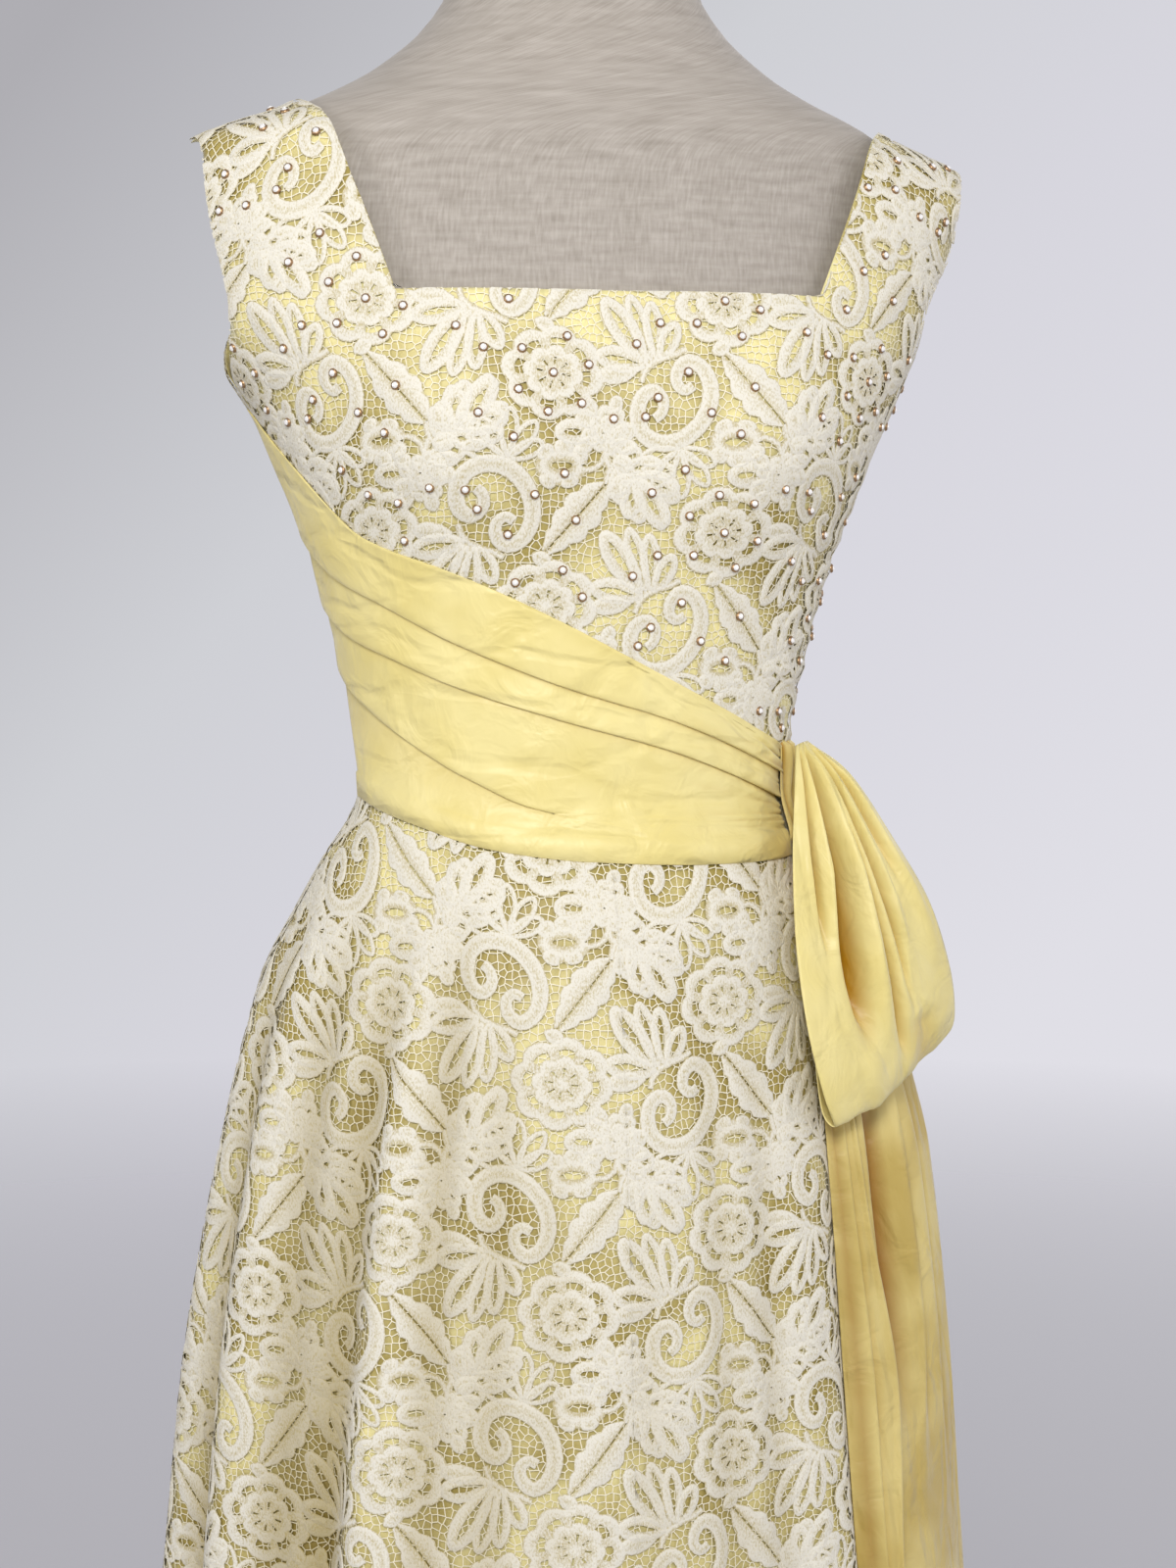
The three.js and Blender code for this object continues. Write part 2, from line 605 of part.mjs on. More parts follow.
// A skirt panel between two angles, between the satin and the lace. Columns stand on every ridge and
// valley and halfway between them.
function skirtPanel(from, to, hemRise) {
  const inside = FOLDS.map((fold) => (fold.angle < from ? fold.angle + 360 : fold.angle)).filter(
    (angle) => angle > from + 1 && angle < to - 1,
  );
  const stops = [from, ...inside.sort((a, b) => a - b), to];
  const columns = stops.flatMap((angle, i) => (i === 0 ? [angle] : [(angle + stops[i - 1]) / 2, angle]));
  const sheet = new Sheet();
  const rows = SKIRT_LEVELS.map((level) =>
    columns.map((angle, c) => {
      const z = mix(waistHeight(wrapped(angle)), HEM_Z, level);
      const point = onSkirt(angle, z);
      const along = onSkirt(angle + 0.5, z).sub(onSkirt(angle - 0.5, z));
      const normal = new THREE.Vector3(-along.y, along.x, 0).normalize().negate();
      const seam = c === 0 ? 1 : c === columns.length - 1 ? -1 : 0;
      point.addScaledVector(along.normalize(), (seam * SEAM_GAP) / 2);
      return sheet.add(point, normal);
    }),
  );
  sheet.fill(rows);
  const [above, hem] = rows.slice(-2);
  hem.forEach((number, c) => {
    const [top, bottom] = [sheet.points[above[c]], sheet.points[number]];
    bottom.lerp(top, hemRise / (top.z - bottom.z));
  });
  return sheet;
}

// ---------- The sash ----------
const SASH_INNER = (point) => LACE_OUTER(point) + SASH_CLEARANCE;
const SASH_LINE_NAMES = ["upper", "first", "second", "third"];
const sashCurves = SASH_LINE_NAMES.map((name) => columnCurve(SASH_LINES, "angle", name));
const THIRD_PLEAT_FADES = { from: -40, to: -12 };
const SASH_SEAM_RISE = 0.9; // the sash's lower edge above the waist seam

// The third pleat runs out before the centre front.
function thirdPleatShare(angle) {
  return THREE.MathUtils.smoothstep(-angle, -THIRD_PLEAT_FADES.to, -THIRD_PLEAT_FADES.from);
}

function sashFront() {
  const sheet = new Sheet();
  const proud = [];
  const angles = numbersTo(Math.round((SASH_END_ANGLE + SIDE_SEAM_ANGLE) / SASH_TURN)).map(
    (i) => -SIDE_SEAM_ANGLE + i * SASH_TURN,
  );
  angles[0] += halfGapAngle(bodyCurve.form(UNDERARM_Z));
  const columns = angles.map((angle) => {
    const lines = sashCurves.map((curve) => curve(angle));
    const lower = waistHeight(angle) + SASH_SEAM_RISE;
    const stations = [{ z: lower, out: 0 }];
    for (let pleat = lines.length - 1; pleat >= 1; pleat--) {
      const stands = PLEAT_PROUD * (pleat === lines.length - 1 ? thirdPleatShare(angle) : 1);
      stations.push({ z: lines[pleat] - PLEAT_DROP, out: 0 });
      stations.push({ z: lines[pleat], out: stands });
      stations.push({ z: mix(lines[pleat], lines[pleat - 1], 0.5), out: stands / 2 });
    }
    stations.push({ z: lines[0], out: 0 });
    return stations.map(({ z, out }) => {
      const point = bodyPoint(angle, z);
      proud.push(out);
      return sheet.add(point, bodyNormal(point));
    });
  });
  sheet.fill(columns);
  const out = (point) => SASH_INNER(point) + proud[sheet.points.indexOf(point)];
  return wall(sheet, out, (point) => out(point) + SASH_THICKNESS);
}

const SASH_BACK_COLUMNS = 18;

function sashBack() {
  const sheet = new Sheet();
  const turn = 360 - SIDE_SEAM_ANGLE - SASH_BACK_START;
  const rows = [SASH_SEAM_RISE, SASH_BACK_HEIGHT / 2, SASH_BACK_HEIGHT].map((rise) =>
    numbersTo(SASH_BACK_COLUMNS).map((i) => {
      const angle = SASH_BACK_START + (turn * i) / SASH_BACK_COLUMNS - (i === SASH_BACK_COLUMNS ? 0.1 : 0);
      const point = bodyPoint(angle, waistHeight(wrapped(angle)) + rise);
      return sheet.add(point, bodyNormal(point));
    }),
  );
  sheet.fill(rows);
  return wall(sheet, SASH_INNER, (point) => SASH_INNER(point) + SASH_THICKNESS);
}

const GATHER_ROWS = 3;

function sashGather() {
  const sheet = new Sheet();
  const columns = GATHER.flutes * 2;
  const thickness = [];
  const rows = numbersTo(GATHER_ROWS).map((r) =>
    numbersTo(columns).map((c) => {
      const angle = mix(GATHER.from, GATHER.to, c / columns);
      const point = bodyPoint(angle, mix(GATHER.bottom, GATHER.top, r / GATHER_ROWS));
      thickness.push(GATHER.proud + (c % 2 === 1 ? GATHER.fluteDepth : 0));
      return sheet.add(point, bodyNormal(point));
    }),
  );
  sheet.fill(rows);
  return wall(sheet, SASH_INNER, (point) => SASH_INNER(point) + thickness[sheet.points.indexOf(point)]);
}

// ---------- The bow ----------
const loopFold = columnCurve(LOOP_FOLDS, "at", "out");
const LOOP_FULL_WIDTH = 95; // the folds have their full depth where the band is this wide
const LOOP_FOLDS_END = 0.42; // share of the way round at which the front's folds have run out

function bowLoop() {
  const edge = (name) => new THREE.CatmullRomCurve3(LOOP.map((row) => new THREE.Vector3(...row[name])));
  const near = edge("near");
  const far = edge("far");
  const grid = numbersTo(LOOP_STEPS).map((i) => {
    const t = i / LOOP_STEPS;
    const [a, b] = [near.getPoint(t), far.getPoint(t)];
    const across = b.clone().sub(a);
    const along = near.getTangent(t).add(far.getTangent(t));
    const out = along.clone().cross(across).normalize();
    const strength = Math.min(1, across.length() / LOOP_FULL_WIDTH) * Math.max(0, 1 - t / LOOP_FOLDS_END);
    return LOOP_FOLDS.map(({ at }) =>
      a.clone().addScaledVector(across, at).addScaledVector(out, strength * loopFold(at)),
    );
  });
  return wall(gridSheet(grid), 0, SASH_THICKNESS);
}

function sashTail({ stations, ridges, depth }) {
  const curve = Object.fromEntries(
    ["from", "to", "nearProud", "farProud"].map((name) => [name, columnCurve(stations, "z", name)]),
  );
  const top = stations[0].z;
  const bottom = stations.at(-1).z;
  const grid = numbersTo(TAIL_ROWS).map((r) => {
    const z = mix(top, bottom, (r / TAIL_ROWS) ** TAIL_ROW_GROWTH);
    const deepening = THREE.MathUtils.smoothstep(top - z, TAIL_FOLDS_START, TAIL_FOLDS_FULL);
    return numbersTo(TAIL_COLUMNS).map((c) => {
      const across = c / TAIL_COLUMNS;
      const fold = depth * deepening * (0.5 - 0.5 * Math.cos(2 * Math.PI * ridges * across));
      const proud = mix(curve.nearProud(z), curve.farProud(z), across) + fold;
      return onSkirt(mix(curve.from(z), curve.to(z), across), z, proud, 0);
    });
  });
  return wall(gridSheet(grid, -1), 0, SASH_THICKNESS);
}

// ---------- The form and its stand ----------
function formTorso() {
  return ringSolid(
    FORM_LEVELS.map((z) =>
      numbersTo(FORM_COLUMNS - 1).map((i) => bodyPoint((360 * i) / FORM_COLUMNS, z, true)),
    ),
  );
}

// A turned solid, from its profile of [radius, height] pairs between two points on the axis.
function turned(profile) {
  const geometry = new THREE.LatheGeometry(profile.map(([r, z]) => new THREE.Vector2(r, z)), FORM_COLUMNS);
  return geometry.rotateX(Math.PI / 2);
}

function neckCap() {
  const radius = bodyCurve.form(FORM_TOP_Z) + CAP_OVERHANG;
  const bottom = FORM_TOP_Z + SEAM_GAP;
  const edge = CAP_THICKNESS / 3;
  return turned([
    [0, bottom],
    [radius - edge, bottom],
    [radius, bottom + edge],
    [radius, bottom + 2 * edge],
    [radius - edge, bottom + CAP_THICKNESS],
    [0, bottom + CAP_THICKNESS],
  ]);
}

function standPole() {
  const top = FORM_BOTTOM_Z - SEAM_GAP;
  const bottom = HUB_TOP_Z + SEAM_GAP;
  return turned([
    [0, bottom],
    [POLE_RADIUS, bottom],
    [POLE_RADIUS, top - FLANGE_THICKNESS],
    [FLANGE_RADIUS, top - FLANGE_THICKNESS],
    [FLANGE_RADIUS, top],
    [0, top],
  ]);
}

function standBase() {
  const edge = 3;
  return turned([
    [0, 0],
    [BASE_RADIUS - edge, 0],
    [BASE_RADIUS, edge],
    [BASE_RADIUS, BASE_THICKNESS - edge],
    [BASE_RADIUS - edge, BASE_THICKNESS],
    [0, BASE_THICKNESS],
  ]);
}

// The collar that holds the pole on the base.
function standHub() {
  const bottom = BASE_THICKNESS + SEAM_GAP;
  return turned([
    [0, bottom],
    [HUB_RADIUS, bottom],
    [HUB_RADIUS - 3, HUB_TOP_Z],
    [0, HUB_TOP_Z],
  ]);
}

// ---------- Materials and the finished group ----------
const cloth = (name, color, roughness) =>
  new THREE.MeshStandardMaterial({ name, color, roughness, metalness: 0, side: THREE.FrontSide });
const steel = (name, color) =>
  new THREE.MeshStandardMaterial({ name, color, roughness: 0.35, metalness: 1 });
const lace = () => cloth("cream lace", 0xece4d0, 0.9);
const satin = () => cloth("yellow satin", 0xeedd84, 0.45);

const gown = new THREE.Group();

function addPart(name, geometry, material) {
  const mesh = new THREE.Mesh(geometry, material);
  mesh.name = name;
  gown.add(mesh);
}

// A bodice panel's two layers, from one sheet.
function addBodiceLayers(name, sheet) {
  addPart(name + "_satin", wall(sheet, bodiceEase, SATIN_OUTER), satin());
  addPart(name + "_lace", wall(sheet, LACE_INNER, LACE_OUTER), lace());
}

// A skirt panel's two layers. The underskirt is a little shorter.
function addSkirtLayers(name, from, to) {
  const half = LAYER_GAP / 2;
  const under = skirtPanel(from, to, SATIN_HEM_RISE);
  addPart(name + "_satin", wall(under, -half - SATIN_THICKNESS, -half), satin());
  addPart(name + "_lace", wall(skirtPanel(from, to, 0), half, half + LACE_THICKNESS), lace());
}

addPart("form_torso", formTorso(), cloth("form jersey", 0xafa89e, 0.95));
addPart("form_neck_cap", neckCap(), cloth("form cap", 0x8a8078, 0.6));
addPart("stand_pole", standPole(), steel("pole steel", 0xb8b8b8));
addPart("stand_hub", standHub(), steel("base steel", 0xa8a8a8));
addPart("stand_base", standBase(), steel("base steel", 0xa8a8a8));
addBodiceLayers("bodice_front", bodiceFront());
addBodiceLayers("bodice_back_left", bodiceBack(1));
addBodiceLayers("bodice_back_right", bodiceBack(-1));
addSkirtLayers("skirt_front", -SIDE_SEAM_ANGLE, SIDE_SEAM_ANGLE);
addSkirtLayers("skirt_back_left", SIDE_SEAM_ANGLE, 180);
addSkirtLayers("skirt_back_right", 180, 360 - SIDE_SEAM_ANGLE);
addPart("sash_front", sashFront(), satin());
addPart("sash_back", sashBack(), satin());
addPart("sash_gather", sashGather(), satin());
addPart("bow_loop", bowLoop(), satin());
for (const [name, tail] of Object.entries(TAILS)) addPart(name, sashTail(tail), satin());

export default gown;
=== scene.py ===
import math

import bmesh
import bpy
import numpy as np
from mathutils import Matrix, Vector


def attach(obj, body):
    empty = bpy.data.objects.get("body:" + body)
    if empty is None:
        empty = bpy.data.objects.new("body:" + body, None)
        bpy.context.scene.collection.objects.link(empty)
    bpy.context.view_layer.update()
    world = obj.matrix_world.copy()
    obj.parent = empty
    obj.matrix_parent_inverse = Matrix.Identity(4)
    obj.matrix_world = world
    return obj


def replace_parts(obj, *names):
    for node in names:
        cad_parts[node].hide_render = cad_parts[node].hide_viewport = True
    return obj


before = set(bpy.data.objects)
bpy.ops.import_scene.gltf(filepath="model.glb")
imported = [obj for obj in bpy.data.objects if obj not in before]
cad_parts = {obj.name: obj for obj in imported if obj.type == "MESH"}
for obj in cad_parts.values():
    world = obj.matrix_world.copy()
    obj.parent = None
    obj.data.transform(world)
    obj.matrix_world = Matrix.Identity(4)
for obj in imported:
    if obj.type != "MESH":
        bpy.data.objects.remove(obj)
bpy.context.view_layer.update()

bl_info = {
    "name": "Lace gown on a dress form",
    "version": (1, 0, 0),
    "blender": (4, 5, 0),
    "location": "3D View > Sidebar > Gown",
    "description": "A sleeveless lace and satin gown with a pleated sash and side bow, on a dress form",
    "category": "Add Mesh",
}

# Lengths in the tables are millimetres, +Z up. The wearer faces -Y, so +X is the wearer's left.
# Angles are degrees from the centre front towards the wearer's left.
MM = 0.001
BODY_ROOT = "root"

# ---------- The body under the cloth ----------
BODY_COLUMNS = ("z", "right", "left", "form", "front", "back", "square")
BODY = (
    (780, 146, 146, 144, 95, 108, 2.15),
    (840, 154, 154, 148, 101, 118, 2.15),
    (900, 155, 155, 148, 103, 121, 2.15),
    (960, 143, 143, 138, 100, 111, 2.15),
    (1005, 125, 125, 122, 94, 94, 2.15),
    (1036, 113, 113, 113, 88, 80, 2.2),
    (1060, 107, 107, 107, 83, 73, 2.2),
    (1090, 109, 109, 109, 85, 75, 2.2),
    (1125, 116, 116, 116, 89, 78, 2.2),
    (1160, 125, 125, 125, 94, 82, 2.2),
    (1195, 136, 137, 135, 100, 87, 2.25),
    (1225, 149, 149, 146, 105, 91, 2.3),
    (1250, 160, 160, 154, 107, 94, 2.3),
    (1275, 175, 171, 159, 105, 96, 2.3),
    (1300, 188, 182, 162, 101, 97, 2.3),
    (1340, 197, 199, 167, 93, 95, 2.2),
    (1362, 200, 210, 171, 85, 91, 2.1),
    (1374, 200, 204, 172, 80, 87, 2.1),
    (1383, 193, 186, 170, 76, 84, 2.1),
    (1390, 176, 168, 164, 73, 82, 2.1),
    (1396, 156, 156, 155, 71, 80, 2.1),
    (1402, 143, 143, 143, 69, 78, 2.1),
    (1410, 125, 125, 125, 66, 75, 2.1),
    (1422, 103, 103, 103, 63, 71, 2.1),
    (1446, 75, 75, 75, 60, 66, 2.05),
    (1465, 64, 64, 64, 58, 61, 2.0),
    (1530, 57, 57, 57, 55, 55, 2.0),
)
BUST = {"apart": 82, "height": 1232, "rise": 15, "width_x": 46, "width_z": 48, "blend": 40}
WAIST_COLUMNS = ("angle", "z")
WAIST = (
    (-180, 1050), (-135, 1056), (-90, 1058), (-60, 1049), (-36, 1038),
    (-8, 1032), (50, 1028), (90, 1034), (135, 1043), (180, 1050),
)
HEM_Z = 40
SATIN_HEM_Z = 52
UNDERARM_Z = 1262
FORM_TOP_Z = 1530
BODICE_EASE = 2.5
SHOULDER_EASE = 1.0
SHOULDER_REST_Z = 1376
EASE_BLEND = 40
SIDE = 90

# Levels of the form's grid: from, to and step. Its columns are this many degrees apart.
FORM_LEVELS = ((780, 1260, 24.0), (1260, 1340, 10.0), (1340, 1440, 4.0), (1440, FORM_TOP_Z, 9.0))
FORM_STEP = 3.0
# The turned pieces, with profiles of (radius, height) that start and end on the axis. Edges that turn by
# more than this many degrees are bevelled.
TURNED_STEPS = 96
SHARP_ANGLE = 40
TURNED = {
    "form_cap": {
        "node": "form_neck_cap", "material": "cap", "bevel": 2.5,
        "profile": ((0, 1530.3), (60, 1530.3), (60, 1539.3), (0, 1539.3)),
    },
    "stand_tube": {
        "node": "stand_pole", "material": "pole", "bevel": 1.0,
        "profile": ((0, 34.3), (14, 34.3), (14, 760), (18, 771.7), (55, 771.7), (55, 779.7), (0, 779.7)),
    },
    "stand_plate": {
        "node": "stand_base", "material": "base", "bevel": 1.5,
        "profile": ((0, 0), (200, 0), (200, 11), (0, 11)),
    },
    "stand_socket": {
        "node": "stand_hub", "material": "base", "bevel": 1.5,
        "profile": ((0, 11.3), (30, 11.3), (27, 34), (0, 34)),
    },
}

# ---------- The skirt ----------
SKIRT_COLUMNS = (
    "z", "front", "front_left", "left", "back_left", "back", "back_right", "right", "front_right",
)
SKIRT = (
    (1040, 96, 106, 121, 102, 88, 102, 121, 106),
    (1000, 107, 118, 141, 124, 110, 126, 143, 119),
    (960, 115, 124, 155, 146, 134, 149, 163, 131),
    (880, 129, 137, 170, 168, 160, 172, 183, 149),
    (760, 143, 148, 187, 190, 192, 198, 203, 166),
    (650, 155, 159, 198, 208, 215, 216, 213, 180),
    (400, 190, 196, 230, 248, 260, 254, 244, 213),
    (40, 245, 252, 283, 303, 316, 308, 296, 261),
)
SKIRT_TAKES_OVER = 32
SKIRT_SEAM_OFFSET = 3.7
# The ridges and valleys of the skirt's main folds: angle, how far out at the hem, and top.
FOLDS = (
    (-172, 12, 1000), (-162, -12, 970), (-151, 13, 990), (-141, -14, 985), (-131, 12, 1000),
    (-120, -13, 950), (-111, 12, 975), (-100, -13, 960), (-90, 11, 985), (-81, -11, 930),
    (-72, 12, 900), (-59, -17, 930), (-48, 12, 960), (-31, -4, 900), (-10, 4, 850),
    (14, -3, 850), (34, -1, 900), (46, 15, 1005), (57, -17, 1005), (72, 9, 960),
    (81, -11, 940), (91, 11, 985), (101, -13, 950), (112, 13, 980), (122, -12, 960),
    (132, 12, 1000), (143, -14, 980), (153, 12, 985), (163, -11, 960), (173, 12, 1000),
)
FOLD_GROWTH = 0.75
# Smaller creases between the folds: angle, width, how far out, top and bottom. None lies under the bow's
# ends.
SKIRT_CREASES = (
    (-83, 4.0, -5, 1030, 40), (-76, 3.4, 2.5, 1010, 200), (-66, 4.4, -6, 1035, 40),
    (-54, 4.8, -7, 1025, 40), (-47, 3.4, 3, 990, 300), (-39, 4.8, -6.5, 1030, 300),
    (-27, 4.6, -4, 1000, 560), (-16, 4.2, -2.5, 940, 400), (3, 4.4, -2.2, 900, 300),
    (21, 3.8, -2.5, 1000, 480), (33, 3.6, -2.5, 960, 600), (40, 3.0, 2, 900, 500),
    (104, 4.0, -5, 1030, 40), (116, 3.6, -4, 1020, 200), (128, 4.2, -5.5, 1025, 40),
    (137, 3.2, 2.5, 980, 200), (148, 4.0, -5, 1030, 40), (160, 3.4, -3.5, 1000, 300),
    (169, 4.2, -5, 1035, 40), (-176, 3.6, -4, 1020, 300), (-165, 4.0, -5, 1030, 40),
    (-155, 3.2, 2.5, 960, 200), (-146, 4.2, -5.5, 1025, 40), (-135, 3.6, -3.5, 990, 300),
    (-126, 4.0, -5, 1035, 40), (-106, 4.0, -5.5, 1025, 40), (-95, 3.6, -3.5, 990, 300),
)
# How far under its top a crease is full, and where about its bottom it goes out.
CREASE_START = 110
CREASE_END = (-40, 120)

# ---------- The panels ----------
STRAPS = {"right": (146, 193), "left": (164, 205)}
PANELS = {
    "bodice_front": {
        "middle": 0, "shares": (-1, 1), "corner": 0.65, "neck_z": 1305, "armhole": 76, "facing": -1,
    },
    "bodice_back_left": {
        "middle": 180, "shares": (-1, 0), "corner": 0.68, "neck_z": 1330, "armhole": 68, "facing": 1,
    },
    "bodice_back_right": {
        "middle": 180, "shares": (0, 1), "corner": 0.68, "neck_z": 1330, "armhole": 68, "facing": 1,
    },
}
SKIRT_PANELS = {
    "skirt_front": {"middle": 0, "from": -90, "to": 90},
    "skirt_back_left": {"middle": 180, "from": 90, "to": 180},
    "skirt_back_right": {"middle": 180, "from": 180, "to": 270},
}
DART = {"x": 98, "bottom": 1180, "top": 1232, "depth": 1.6, "width": 3.2}
BODICE_GRID = {"strap_columns": 15, "columns": 41, "rows": 46, "armhole_rows": 15, "strap_rows": 34}
BODICE_WAIST_Z = 1036.0
# How far over the waist line the bodice's and the sash's lowest rows lie.
BODICE_OVER_WAIST = 0.8
SASH_OVER_WAIST = 0.9
SKIRT_GRID = {"degrees": 1.5, "rows": 78, "crowding": 0.8}
# Each layer's hem, and how far its outer face stands off the body on the bodice and off the mean surface
# on the skirt.
LAYERS = {
    "lining": {"bodice": 0.9, "skirt": -0.6, "hem": SATIN_HEM_Z},
    "net": {"bodice": 1.8, "skirt": 0.4, "hem": HEM_Z},
    "motif": {"bodice": 1.95, "skirt": 0.55, "hem": HEM_Z},
}

# ---------- The sash and bow ----------
SASH_COLUMNS = ("angle", "upper", "first", "second", "third")
SASH = (
    (-90, 1254, 1187, 1153, 1118),
    (-76, 1223, 1169, 1139, 1105),
    (-62, 1189, 1156, 1129, 1090),
    (-44, 1173, 1137, 1115, 1071),
    (-17, 1149, 1117, 1100, 1052),
    (21, 1117, 1098, 1083, 1046),
    (63, 1082, 1069, 1056, 1043),
)
SASH_OUT = 4.6
SASH_GRID = {"columns": 216, "back_columns": 160, "gather_columns": 33, "gather_rows": 20}
# The sash's section: the stitched hem at its foot and the turned one at its top, as (rise, out), and a
# pleat's folded lip as (rise over its line, out, painted shade in the valley under the lip).
SASH_FOOT = ((-3, 0.0), (-2.6, 0.9), (5, 1.7), (9.6, 1.6), (10.4, 0.8))
SASH_TOP = ((-0.3, 1.1), (0, 0.8), (-0.3, 0.2), (-3, 0.0))
SASH_LIP = (
    (-1.2, 0.5, 0.1), (1.5, 0.25, 0.25), (3.4, 0.2, 0.4), (1.5, 1.0, 0.4), (0.2, 1.4, 0.1),
    (-0.1, 1.8, 0), (0.1, 2.3, 0), (0.7, 2.6, 0), (2.5, 2.75, 0), (6.0, 2.6, 0),
)
PLEAT_SHARES = (0.15, 0.3, 0.45, 0.6, 0.75, 0.9)
# Soft dents low on the sash: the angle and height of each, its slope, its width and its depth.
SASH_DIMPLES = (
    (-58, 1068, -1.1, 3.0, 1.6), (-50, 1060, -1.0, 2.6, 1.3), (-30, 1078, -0.9, 3.4, 1.0),
    (-8, 1066, -0.4, 3.0, 0.8), (14, 1072, -0.6, 2.6, 0.8), (34, 1060, -0.5, 2.4, 0.8),
)
SASH_END = 63
SASH_BACK_START = 72
SASH_BACK_HEIGHT = 50
# The section of the plain band at the back, as (rise, out).
SASH_BACK = (
    (-2.4, 0.0), (-2.0, 0.9), (9.5, 1.3), (10.5, 0.5), (20, 0.7), (30, 0.9), (40, 0.8), (48.5, 0.9),
    (49.5, 0.3),
)
GATHER = {"from": 62.6, "to": 74.5, "bottom": 1032, "top": 1085, "proud": 5.5}
# The loop's near and far edges, from the gather down the front, round the end and back up behind.
LOOP = (
    ((103.5, -59, 1083), (114.5, -43, 1084)),
    ((98, -76, 1060), (133, -57, 1068)),
    ((93, -91, 1026), (157, -56, 1034)),
    ((92, -102, 985), (177, -55, 1001)),
    ((95, -113, 946), (190, -51, 966)),
    ((103, -114, 914), (195, -46, 941)),
    ((111, -107, 896), (196, -35, 929)),
    ((106, -100, 903), (193, -24, 937)),
    ((102, -97, 940), (184, -28, 972)),
    ((99, -91, 985), (163, -36, 1008)),
    ((98, -76, 1030), (136, -43, 1044)),
    ((105, -54, 1062), (112.5, -40, 1064)),
)
LOOP_GRID = {"rows": 104, "columns": 92}
# How far the loop puffs out, and how wide it is before its creases and puff draw in.
LOOP_PUFF = 5.0
LOOP_FULL_WIDTH = 80
LOOP_CUT_WIDTH = 110

# Creases run along a strip of cloth: where across it, how wide, how far out, and where along it they start
# and end.
LOOP_CREASES = (
    (0.185, 0.018, -15.0, 0.0, 0.31), (0.25, 0.03, 7.0, 0.0, 0.33), (0.345, 0.05, -32.0, 0.0, 0.44),
    (0.46, 0.055, 9.0, 0.0, 0.48), (0.555, 0.032, -15.0, 0.14, 0.50), (0.66, 0.014, -10.0, 0.0, 0.42),
    (0.71, 0.03, 4.0, 0.0, 0.40), (0.83, 0.03, -7.0, 0.0, 0.26), (0.90, 0.05, 3.0, 0.05, 0.40),
    (0.30, 0.08, 2.5, 0.42, 0.62), (0.72, 0.09, -3.0, 0.40, 0.60), (0.20, 0.04, -4.0, 0.62, 1.0),
    (0.42, 0.06, 4.0, 0.66, 1.0), (0.62, 0.05, -5.0, 0.6, 1.0), (0.84, 0.05, 2.5, 0.64, 1.0),
)
TAIL_ROWS = 110
# How far the tails' near edge lies off the skirt's folds, and the least gap of the rest of each one.
TAIL_OFF_SKIRT = 1.3
TAIL_LEAST_GAP = 0.5
TAIL_COLUMNS = ("z", "from", "to", "near_proud", "far_proud")
TAILS = {
    "sash_tail_front": {
        "columns": 40,
        "tuck": -4.0,
        "stations": (
            (1046, 64.4, 70.4, 11, 11), (1026, 62.5, 69.5, 9.5, 10), (1000, 57, 66, 4, 6),
            (930, 51.5, 58.5, 4, 6), (860, 49.5, 57, 6, 10), (760, 49.5, 60.5, 6.5, 13),
            (650, 49.5, 57, 7.5, 14), (450, 49.5, 56.5, 9, 15), (250, 49.5, 56.5, 10.5, 16),
        ),
        "creases": (
            (0.16, 0.10, -4.0, 0.0, 1.3), (0.50, 0.12, -2.0, 0.02, 0.6), (0.93, 0.06, 2.0, 0.0, 1.3),
            (0.36, 0.05, 1.5, 0.1, 0.9),
        ),
    },
    "sash_tail_rear": {
        "columns": 84,
        "tuck": 4.0,
        "stations": (
            (1041, 72.7, 79, 6, 5.6), (1000, 67.5, 84, 7, 14), (930, 59.5, 93, 3.6, 16),
            (860, 58, 97, 4, 24), (760, 61.5, 97, 4, 22), (650, 58, 97, 5, 20), (450, 57.5, 96, 6, 18),
            (190, 57.5, 94, 7, 16),
        ),
        "creases": (
            (0.13, 0.03, 4.5, 0.0, 0.34), (0.235, 0.055, -13.0, 0.0, 0.40), (0.335, 0.035, 8.0, 0.0, 0.44),
            (0.42, 0.024, -6.0, 0.02, 0.42), (0.52, 0.04, 3.0, 0.02, 0.50), (0.62, 0.022, -5.0, 0.02, 0.46),
            (0.74, 0.05, 3.0, 0.02, 0.6), (0.86, 0.024, -5.0, 0.05, 0.55), (0.30, 0.16, 4.0, 0.36, 1.4),
            (0.66, 0.14, -3.5, 0.45, 1.4), (0.06, 0.05, -6.0, 0.0, 1.4),
        ),
    },
}

# How far in a fold must go before its valley takes its full painted shade.
VALLEY_FULL = {"skirt": 11.0, "loop": 11.0, "ends": 8.0, "gather": 1.6}

# ---------- The stage, in metres, watts and degrees ----------
FLOOR = {"half": 6, "solid_to": 1.6, "gone_at": 4.9}
LIGHT_TARGET = (0.0, 0.0, 1.1)
LIGHTS = {
    "key": {"place": (-0.45, -1.8, 1.9), "width": 0.5, "power": 25},
    "fill": {"place": (1.7, -1.4, 1.5), "width": 1.2, "power": 5},
    "left": {"place": (-1.7, -0.7, 1.5), "width": 0.5, "power": 6},
    "back": {"place": (0.6, 2.2, 2.2), "width": 1.4, "power": 14},
}
# The backdrop's greys along a slope of level to upright, and where they stop.
BACKDROP_SLOPE = (1.0, 0.0, -0.9)
BACKDROP_REACH = 0.7
BACKDROP = ((0.40, "AFAEB3"), (0.57, "CFD0D5"), (0.68, "D7D6DE"), (0.86, "E0DFE6"))
CAMERA = {"azimuth": -12, "elevation": 5, "distance": 1.43, "aim": (0.008, 0.0, 1.06), "half_view": 16}
SENSOR_MM = 36


# ---------- Curves ----------
def mix(a, b, t):
    return a + (b - a) * t


